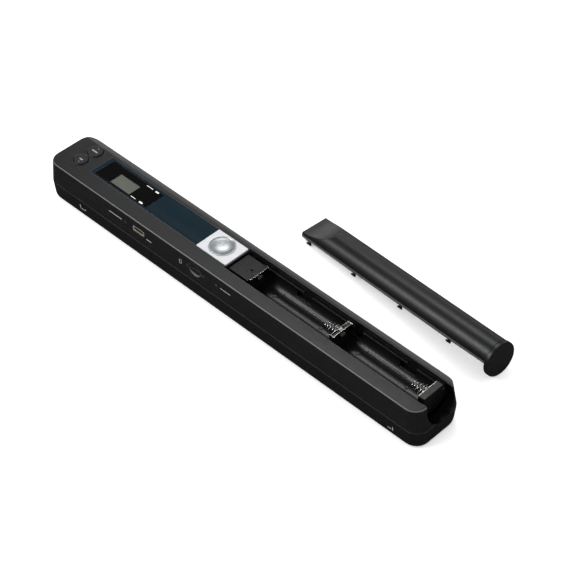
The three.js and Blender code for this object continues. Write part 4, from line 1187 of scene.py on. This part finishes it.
@dataclass
class BatteryBays:
    """The battery tray, its contact plates and the two wound springs."""

    tray_edge: float = 0.15 * MM
    contact_edge: float = 0.08 * MM
    wire_radius: float = 0.28 * MM
    base_radius: float = 3.3 * MM
    tip_radius: float = 2.3 * MM
    open_turns: float = 3.25
    closed_turns: float = 0.75
    steps_per_turn: int = 28
    wire_sides: int = 12
    axis_y: float = 1.6 * MM
    axis_z: float = 20.1 * MM

    def build(self) -> None:
        """Dresses the tray and contacts and winds the springs."""
        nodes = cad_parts
        soften(nodes["battery_tray"], self.tray_edge)
        WARDROBE.dress(nodes["battery_tray"], TRAY_BLACK)
        for name in ("nub_contact", "link_contact", "spring_contact"):
            soften(nodes[name], self.contact_edge)
            WARDROBE.dress(nodes[name], CONTACT_NICKEL)
        for name in ("battery_spring_1", "battery_spring_2"):
            self.wind(name)

    def wind(self, node: str) -> None:
        """Winds one fine spring in the place of its node.

        Args:
            node: The spring's node.
        """
        low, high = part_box(node)
        start = high.x - self.wire_radius
        end = low.x + self.wire_radius
        turns = self.open_turns + 2 * self.closed_turns
        closed_rise = 2 * self.wire_radius * self.closed_turns
        steps = round(turns * self.steps_per_turn)
        path = []
        for step in range(steps + 1):
            turn = step / steps * turns
            open_share = min(max((turn - self.closed_turns) / self.open_turns, 0), 1)
            radius = self.base_radius + (self.tip_radius - self.base_radius) * open_share
            first = min(turn / self.closed_turns, 1) * closed_rise
            last = max((turn - self.closed_turns - self.open_turns) / self.closed_turns, 0) * closed_rise
            middle = open_share * (start - end - 2 * closed_rise)
            angle = turn * math.tau
            path.append(Vector((
                start - first - middle - last,
                self.axis_y + radius * math.cos(angle),
                self.axis_z + radius * math.sin(angle),
            )))
        points, faces = tube(path, self.wire_radius, self.wire_sides)
        piece = new_piece(f"wound_{node}", points, faces, READER, SPRING_NICKEL)
        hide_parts(node)


@dataclass
class LooseCover:
    """The battery cover that lies beside the wand."""

    edge: float = 0.2 * MM

    def build(self) -> None:
        """Dresses the cover."""
        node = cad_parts["battery_cover"]
        soften(node, self.edge)
        WARDROBE.dress(node, COVER_BLACK)


@dataclass
class DisplayWindow:
    """The dark strip, its glossy window, the display and the marks beside it."""

    edge: float = 0.08 * MM
    bar_height: float = 0.4 * MM
    back_bar: tuple[Pair, float] = ((-75.4 * MM, -70.9 * MM), 7 * MM)
    front_bar: tuple[Pair, float] = ((-75.5 * MM, -72 * MM), -4 * MM)

    def build(self) -> None:
        """Dresses the window and prints its plain marks."""
        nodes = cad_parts
        for name, finish in {
            "display_strip": STRIP_NAVY,
            "display_lens": LENS_BLACK,
            "display_glass": DISPLAY_GREY,
            "status_light_1": LIGHT_WHITE,
            "status_light_2": LIGHT_WHITE,
        }.items():
            soften(nodes[name], self.edge)
            WARDROBE.dress(nodes[name], finish)
        half = self.bar_height / 2
        for name, (x, y) in {"back": self.back_bar, "front": self.front_bar}.items():
            outline = bar(x, (y - half, y + half))
            PrintedMark(f"window_bar_{name}", "display_lens", Side.TOP, outline, WHITE_INK).build()


@dataclass
class Keys:
    """The bright plate with its domed button, and the two round buttons at the display end."""

    plate_edge: float = 0.12 * MM
    key_edge: float = 0.15 * MM
    steps: int = 96
    collar: float = 1 * MM
    gap: float = 0.3 * MM
    rim_width: float = 0.5 * MM
    rim_round: float = 0.12 * MM
    groove_width: float = 0.3 * MM
    groove_depth: float = 0.22 * MM
    dome_steps: int = 20
    dome_power: float = 2.7

    def build(self) -> None:
        """Dresses the plate and keys and turns the fine scan button."""
        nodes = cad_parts
        soften(nodes["key_plate"], self.plate_edge)
        WARDROBE.dress(nodes["key_plate"], PLATE_SILVER)
        for name in ("mode_button", "power_button"):
            soften(nodes[name], self.key_edge)
            WARDROBE.dress(nodes[name], KEY_BLACK)
        for name in ("scan_snap_dome", "mode_snap_dome", "power_snap_dome"):
            soften(nodes[name], self.plate_edge)
            WARDROBE.dress(nodes[name], DOME_STEEL)
        self.turn_scan_button()

    def turn_scan_button(self) -> None:
        """Turns the domed scan button with its raised rim, in the place of its node."""
        low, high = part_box("scan_button")
        origin = (low + high) / 2
        radius = (high.x - low.x) / 2 - self.gap
        foot = low.z - origin.z
        crown = high.z - origin.z
        edge = crown - self.collar
        inner = radius - self.rim_width
        face = inner - self.groove_width
        bottom = edge - self.groove_depth
        profile = [
            (0, foot),
            (radius, foot),
            (radius, edge - self.rim_round),
            (radius - self.rim_round / 3, edge - self.rim_round / 3),
            (radius - self.rim_round, edge),
            (inner + self.rim_round, edge),
            (inner, edge - self.rim_round),
            (inner - self.rim_round, bottom),
            (face, bottom),
        ]
        for step in range(self.dome_steps):
            share = 1 - step / self.dome_steps
            profile.append((face * share, crown - self.collar * share**self.dome_power))
        profile.append((0, crown))
        points, faces = turned(profile, self.steps)
        piece = new_piece("turned_scan_button", points, faces, "scan_key", BUTTON_SILVER, origin)
        smooth_between_edges(piece)
        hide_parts("scan_button")


@dataclass
class Sockets:
    """The inlets in the front side and the keys behind the pin holes."""

    edge: float = 0.08 * MM

    def build(self) -> None:
        """Dresses the sockets."""
        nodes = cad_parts
        for name, finish in {
            "usb_shell": PORT_STEEL,
            "usb_tongue": MOULDING_BLACK,
            "card_socket": SOCKET_STEEL,
            "clock_set_key": LIGHT_WHITE,
            "card_format_key": LIGHT_WHITE,
            "clock_set_switch": MOULDING_BLACK,
            "card_format_switch": MOULDING_BLACK,
        }.items():
            soften(nodes[name], self.edge)
            WARDROBE.dress(nodes[name], finish)


@dataclass
class Inside:
    """The boards, the image sensor, the roller train and the flat cable."""

    edge: float = 0.06 * MM
    film: float = 0.3 * MM
    swing: float = 1.1 * MM
    rises: int = 48
    lanes: int = 20
    lane_height: float = 0.04 * MM

    def build(self) -> None:
        """Dresses what lies inside and below."""
        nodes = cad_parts
        finishes = {
            "main_board": BOARD_GREEN,
            "sensor_board": BOARD_GREEN,
            "sensor_housing": MOULDING_BLACK,
            "sensor_glass": SENSOR_GLASS,
            "rod_lens": ACRYLIC,
            "light_guide": ACRYLIC,
            "ribbon_socket_lower": MOULDING_BLACK,
            "ribbon_socket_upper": MOULDING_BLACK,
            "roller_shaft": SHAFT_STEEL,
            "roller_left": RUBBER,
            "roller_right": RUBBER,
            "bush_left": BUSHING,
            "bush_right": BUSHING,
            "encoder_wheel": MOULDING_BLACK,
            "encoder_sensor": MOULDING_BLACK,
        }
        for name, finish in finishes.items():
            soften(nodes[name], self.edge)
            WARDROBE.dress(nodes[name], finish)
        self.hang_cable()

    def hang_cable(self) -> None:
        """Hangs the fine flat cable, with a raised lane for each conductor, in the place of its node."""
        low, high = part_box("flat_cable")
        origin = (low + high) / 2
        half_width = (high.x - low.x) / 2
        half_height = (high.z - low.z) / 2
        edges = 2 * self.lanes + 1
        columns = [(edge / edges * 2 - 1) * half_width for edge in range(edges + 1)]
        points = []
        for rise in range(self.rises + 1):
            share = rise / self.rises
            middle = self.swing * math.sin(share * math.tau)
            up = (2 * share - 1) * half_height
            for side in (1, -1):
                for number, x in enumerate(columns):
                    sunk = self.lane_height * (number % 4 in (0, 3))
                    points.append(Vector((side * x, middle + side * (self.film / 2 - sunk), up)))
        around = 2 * len(columns)
        faces = [list(range(around)), [self.rises * around + number for number in range(around)]]
        for rise in range(self.rises):
            for number in range(around):
                here = rise * around + number
                beside = rise * around + (number + 1) % around
                faces.append([here, beside, beside + around, here + around])
        piece = new_piece("fine_flat_cable", points, faces, READER, RIBBON_WHITE, origin)
        smooth_between_edges(piece)
        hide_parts("flat_cable")


@dataclass
class FineScrews:
    """The casing's and the board's screws: a cross recess in the head below, and a ridged shank above."""

    sides: int = 48
    chamfer: float = 0.14 * MM
    half_share: float = 0.15
    reach_share: float = 0.64
    depth_share: float = 0.6
    ridge: float = 0.14 * MM
    pitch: float = 0.5 * MM

    def build(self) -> None:
        """Turns a fine screw in the place of each screw's node."""
        for name in [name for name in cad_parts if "_screw_" in name]:
            self.turn(name)

    def turn(self, name: str) -> None:
        """Turns one screw.

        Args:
            name: The screw's node.
        """
        low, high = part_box(name)
        origin = Vector(((low.x + high.x) / 2, (low.y + high.y) / 2, low.z))
        corners = [vertex.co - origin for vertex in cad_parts[name].data.vertices]
        seat = min(corner.z for corner in corners if corner.z > self.chamfer)
        shank = max(corner.to_2d().length for corner in corners if corner.z > seat + self.chamfer)
        head = (high.x - low.x) / 2
        points, faces = self.head_face(head - self.chamfer, self.depth_share * seat)
        rim = list(range(self.sides))
        for radius, height in self.profile(head, seat, shank, high.z - low.z):
            ring = [len(points) + number for number in range(self.sides)]
            points += self.circle(radius, height)
            for number in range(self.sides):
                beside = (number + 1) % self.sides
                faces.append([rim[number], rim[beside], ring[beside], ring[number]])
            rim = ring
        faces.append(rim)
        piece = new_piece(f"fine_{name}", points, faces, READER, SCREW_STEEL, origin)
        smooth_between_edges(piece)
        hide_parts(name)

    def profile(self, head: float, seat: float, shank: float, length: float) -> list[Pair]:
        """The screw's outline from the head's rim to the shank's tip.

        Args:
            head: The head's radius.
            seat: The height of the head's seat.
            shank: The shank's radius over its ridges.
            length: The screw's length.

        Returns:
            The radius and height of each point.
        """
        root = shank - self.ridge
        quarter = self.pitch / 4
        points = [(head, self.chamfer), (head, seat), (root, seat)]
        for count in range(int((length - seat) / self.pitch)):
            foot = seat + count * self.pitch
            points += [(root, foot + quarter), (shank, foot + 2 * quarter), (root, foot + 3 * quarter)]
        points.append((root, length))
        return points

    def circle(self, radius: float, height: float) -> list[Vector]:
        """The points of a level circle about the screw's axis."""
        angles = [number / self.sides * math.tau for number in range(self.sides)]
        return [Vector((radius * math.cos(angle), radius * math.sin(angle), height)) for angle in angles]

    def head_face(self, radius: float, depth: float) -> tuple[list[Vector], list[list[int]]]:
        """The head's face with its cross recess.

        Args:
            radius: The face's radius.
            depth: The recess's depth.

        Returns:
            The points, of which the first are the face's rim, and the faces.
        """
        half, reach = self.half_share * radius, self.reach_share * radius
        arm = [Vector((reach, -half, 0)), Vector((reach, half, 0)), Vector((half, half, 0))]
        cross = [Matrix.Rotation(turn * math.tau / 4, 3, "Z") @ corner for turn in range(4) for corner in arm]
        count = len(cross)
        points = self.circle(radius, 0) + cross + [corner + Vector((0, 0, depth)) for corner in cross]
        nearest = [
            min(range(count), key=lambda index: (cross[index].normalized() - point.normalized()).length)
            for point in points[: self.sides]
        ]
        faces = []
        for number in range(self.sides):
            beside = (number + 1) % self.sides
            here, there = self.sides + nearest[number], self.sides + nearest[beside]
            faces.append([number, beside, here] if here == there else [number, beside, there, here])
        for index in range(count):
            here = self.sides + index
            there = self.sides + (index + 1) % count
            faces.append([here, there, there + count, here + count])
        faces.append([self.sides + count + index for index in range(count)])
        return points, faces


@dataclass(frozen=True)
class SoftLight:
    """A flat soft light that faces the object."""

    name: str
    direction: Direction
    distance: float
    size: Pair
    power: float

    def build(self, target: Vector) -> None:
        """Hangs the light.

        Args:
            target: The point that it faces.
        """
        data = bpy.data.lights.new(self.name, "AREA")
        data.shape = "RECTANGLE"
        data.size, data.size_y = self.size
        data.energy = self.power
        lamp = bpy.data.objects.new(self.name, data)
        bpy.context.scene.collection.objects.link(lamp)
        away = Vector(self.direction).normalized()
        lamp.location = target + away * self.distance
        side = Vector((0, 0, 1)).cross(away).normalized()
        turned_round = Matrix((side, away.cross(side), away)).transposed().to_4x4()
        lamp.matrix_world = Matrix.Translation(lamp.location) @ turned_round


@dataclass
class Studio:
    """The pale floor, the soft lights, the surroundings and the camera."""

    floor_half: float = 4.0
    floor_drop: float = 0.05 * MM
    floor_shade: float = 0.9
    floor_roughness: float = 0.7
    floor_specular: float = 0.1
    floor_glow: float = 0.3
    card_shade: float = 0.05
    surround: float = 1.05
    card_surround: float = 0.06
    target: tuple[float, float, float] = (0.06, 0.05, 0.02)
    eye: tuple[float, float, float] = (0.470373, -0.441972, 0.638447)
    azimuth: float = 44.7126
    elevation: float = 44.4472
    roll: float = -0.3563
    lens: float = 114.39
    sensor: float = 36
    nearest: float = 10 * MM
    farthest: float = 20
    lights: tuple[SoftLight, ...] = (
        SoftLight("overhead_light", (-0.44, 0.33, 0.84), 1.1, (0.44, 0.26), 2.3),
        SoftLight("front_left_light", (-0.46, -0.69, 0.55), 1.1, (0.6, 0.3), 5.2),
        SoftLight("back_card", (-0.64, 0.76, 0.12), 1.4, (1.8, 0.34), 1.8),
        SoftLight("back_left_card", (-0.74, 0.58, 0.32), 1.2, (0.4, 0.26), 0.9),
    )

    def build(self) -> None:
        """Sets up the stage."""
        self.lay_floor()
        self.hang_lights()
        self.set_surroundings()
        self.set_camera()

    def lay_floor(self) -> None:
        """Lays the pale floor under the object."""
        half = self.floor_half
        corners = [(-half, -half), (half, -half), (half, half), (-half, half)]
        mesh = bpy.data.meshes.new("studio_floor")
        mesh.from_pydata([(x, y, -self.floor_drop) for x, y in corners], [], [(0, 1, 2, 3)])
        floor = bpy.data.objects.new("studio_floor", mesh)
        bpy.context.scene.collection.objects.link(floor)
        sheet = NodeSheet("studio_floor")
        pale = (self.floor_shade,) * 3
        card = (self.card_shade,) * 3
        ray = sheet.add("ShaderNodeLightPath")
        glossy = ray.outputs["Is Glossy Ray"]
        sheet.feed(
            Base_Color=sheet.shades(glossy, pale, card),
            Emission_Strength=sheet.spread(glossy, self.floor_glow, 0, start=0, end=1),
        )
        sheet.fix(
            Roughness=self.floor_roughness,
            Specular_IOR_Level=self.floor_specular,
            Emission_Color=pale,
        )
        mesh.materials.append(sheet.material)

    def hang_lights(self) -> None:
        """Hangs the soft lights round the object."""
        for light in self.lights:
            light.build(Vector(self.target))

    def set_surroundings(self) -> None:
        """Gives the room an even pale light, with dark cards where glossy faces look."""
        world = bpy.data.worlds.new("studio_surroundings")
        bpy.context.scene.world = world
        world.use_nodes = True
        tree = world.node_tree
        background = tree.nodes["Background"]
        background.inputs["Color"].default_value = (1, 1, 1, 1)
        ray = tree.nodes.new("ShaderNodeLightPath")
        level = tree.nodes.new("ShaderNodeMapRange")
        level.inputs["To Min"].default_value = self.surround
        level.inputs["To Max"].default_value = self.card_surround
        tree.links.new(ray.outputs["Is Glossy Ray"], level.inputs["Value"])
        tree.links.new(level.outputs["Result"], background.inputs["Strength"])

    def set_camera(self) -> None:
        """Stands the camera where the photograph was taken."""
        data = bpy.data.cameras.new("photo_camera")
        data.lens = self.lens
        data.sensor_width = self.sensor
        data.clip_start = self.nearest
        data.clip_end = self.farthest
        camera = bpy.data.objects.new("photo_camera", data)
        bpy.context.scene.collection.objects.link(camera)
        turn, rise = math.radians(self.azimuth), math.radians(self.elevation)
        away = Vector((math.sin(turn) * math.cos(rise), -math.cos(turn) * math.cos(rise), math.sin(rise)))
        camera.location = self.eye
        camera.rotation_mode = "QUATERNION"
        level = away.to_track_quat("Z", "Y")
        camera.rotation_quaternion = Quaternion(away, math.radians(self.roll)) @ level
        bpy.context.scene.camera = camera
        bpy.context.scene.view_settings.view_transform = "Standard"


@dataclass
class PlainMarks:
    """The plain bars and dots that stand for the printing on the front side and on the round keys."""

    line: float = 0.28 * MM

    def build(self) -> None:
        """Prints every mark."""
        for name, outline in {
            "side_bar_clock": bar((-80 * MM, -70.6 * MM), (17.7 * MM, 18.2 * MM)),
            "side_bar_port": bar((-52.3 * MM, -48.6 * MM), (15.9 * MM, 16.4 * MM)),
            "side_bar_format": bar((0.4 * MM, 7.4 * MM), (17.8 * MM, 18.2 * MM)),
        }.items():
            PrintedMark(name, "upper_casing", Side.FRONT, outline, GREY_INK).build()
        for name, outline in self.card_frame().items():
            PrintedMark(name, "upper_casing", Side.FRONT, outline, GREY_INK).build()
        for name, outline in {
            "start_line_left": bar((-103.5 * MM, -103 * MM), (5 * MM, 7.8 * MM)),
            "start_foot_left": bar((-102.6 * MM, -100.6 * MM), (5 * MM, 5.5 * MM)),
            "start_dot_left": disc(-99.6 * MM, 5.8 * MM, 0.5 * MM),
            "start_line_right": bar((112.7 * MM, 113.2 * MM), (4 * MM, 6.4 * MM)),
            "start_foot_right": bar((109.9 * MM, 112 * MM), (4.2 * MM, 4.7 * MM)),
        }.items():
            PrintedMark(name, "lower_casing", Side.FRONT, outline, GREY_INK).build()
        for name, node, body, outline in (
            ("mode_bar", "mode_button", "mode_key", bar((-115.6 * MM, -113.4 * MM), (-3.5 * MM, -2.7 * MM))),
            ("power_bar", "power_button", "power_key", bar((-116.1 * MM, -112.1 * MM), (5.5 * MM, 6.3 * MM))),
            ("mode_dot", "mode_button", "mode_key", disc(-114.1 * MM, -5 * MM, 0.3 * MM)),
            ("power_dot", "power_button", "power_key", disc(-114 * MM, 8.45 * MM, 0.3 * MM)),
        ):
            PrintedMark(name, node, Side.TOP, outline, GREY_INK, body).build()

    def card_frame(self) -> dict[str, tuple[Pair, ...]]:
        """The four thin lines of the upright frame beside the card slot.

        Returns:
            The outline of each line, by its name.
        """
        left, right = -28.4 * MM, -26.8 * MM
        foot, top = 16.2 * MM, 18.6 * MM
        return {
            "card_line_left": bar((left, left + self.line), (foot, top)),
            "card_line_right": bar((right - self.line, right), (foot, top)),
            "card_line_foot": bar((left, right), (foot, foot + self.line)),
            "card_line_top": bar((left, right), (top - self.line, top)),
        }


def main() -> None:
    """Builds the looks of the scanner in order."""
    logging.basicConfig(level=logging.INFO, format="%(message)s")
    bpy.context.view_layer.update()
    parts = (
        Studio(),
        Casing(),
        BatteryBays(),
        LooseCover(),
        DisplayWindow(),
        Keys(),
        Sockets(),
        Inside(),
        FineScrews(),
        PlainMarks(),
    )
    for part in parts:
        LOG.info("building %s", type(part).__name__)
        part.build()


if __name__ == "__main__":
    main()
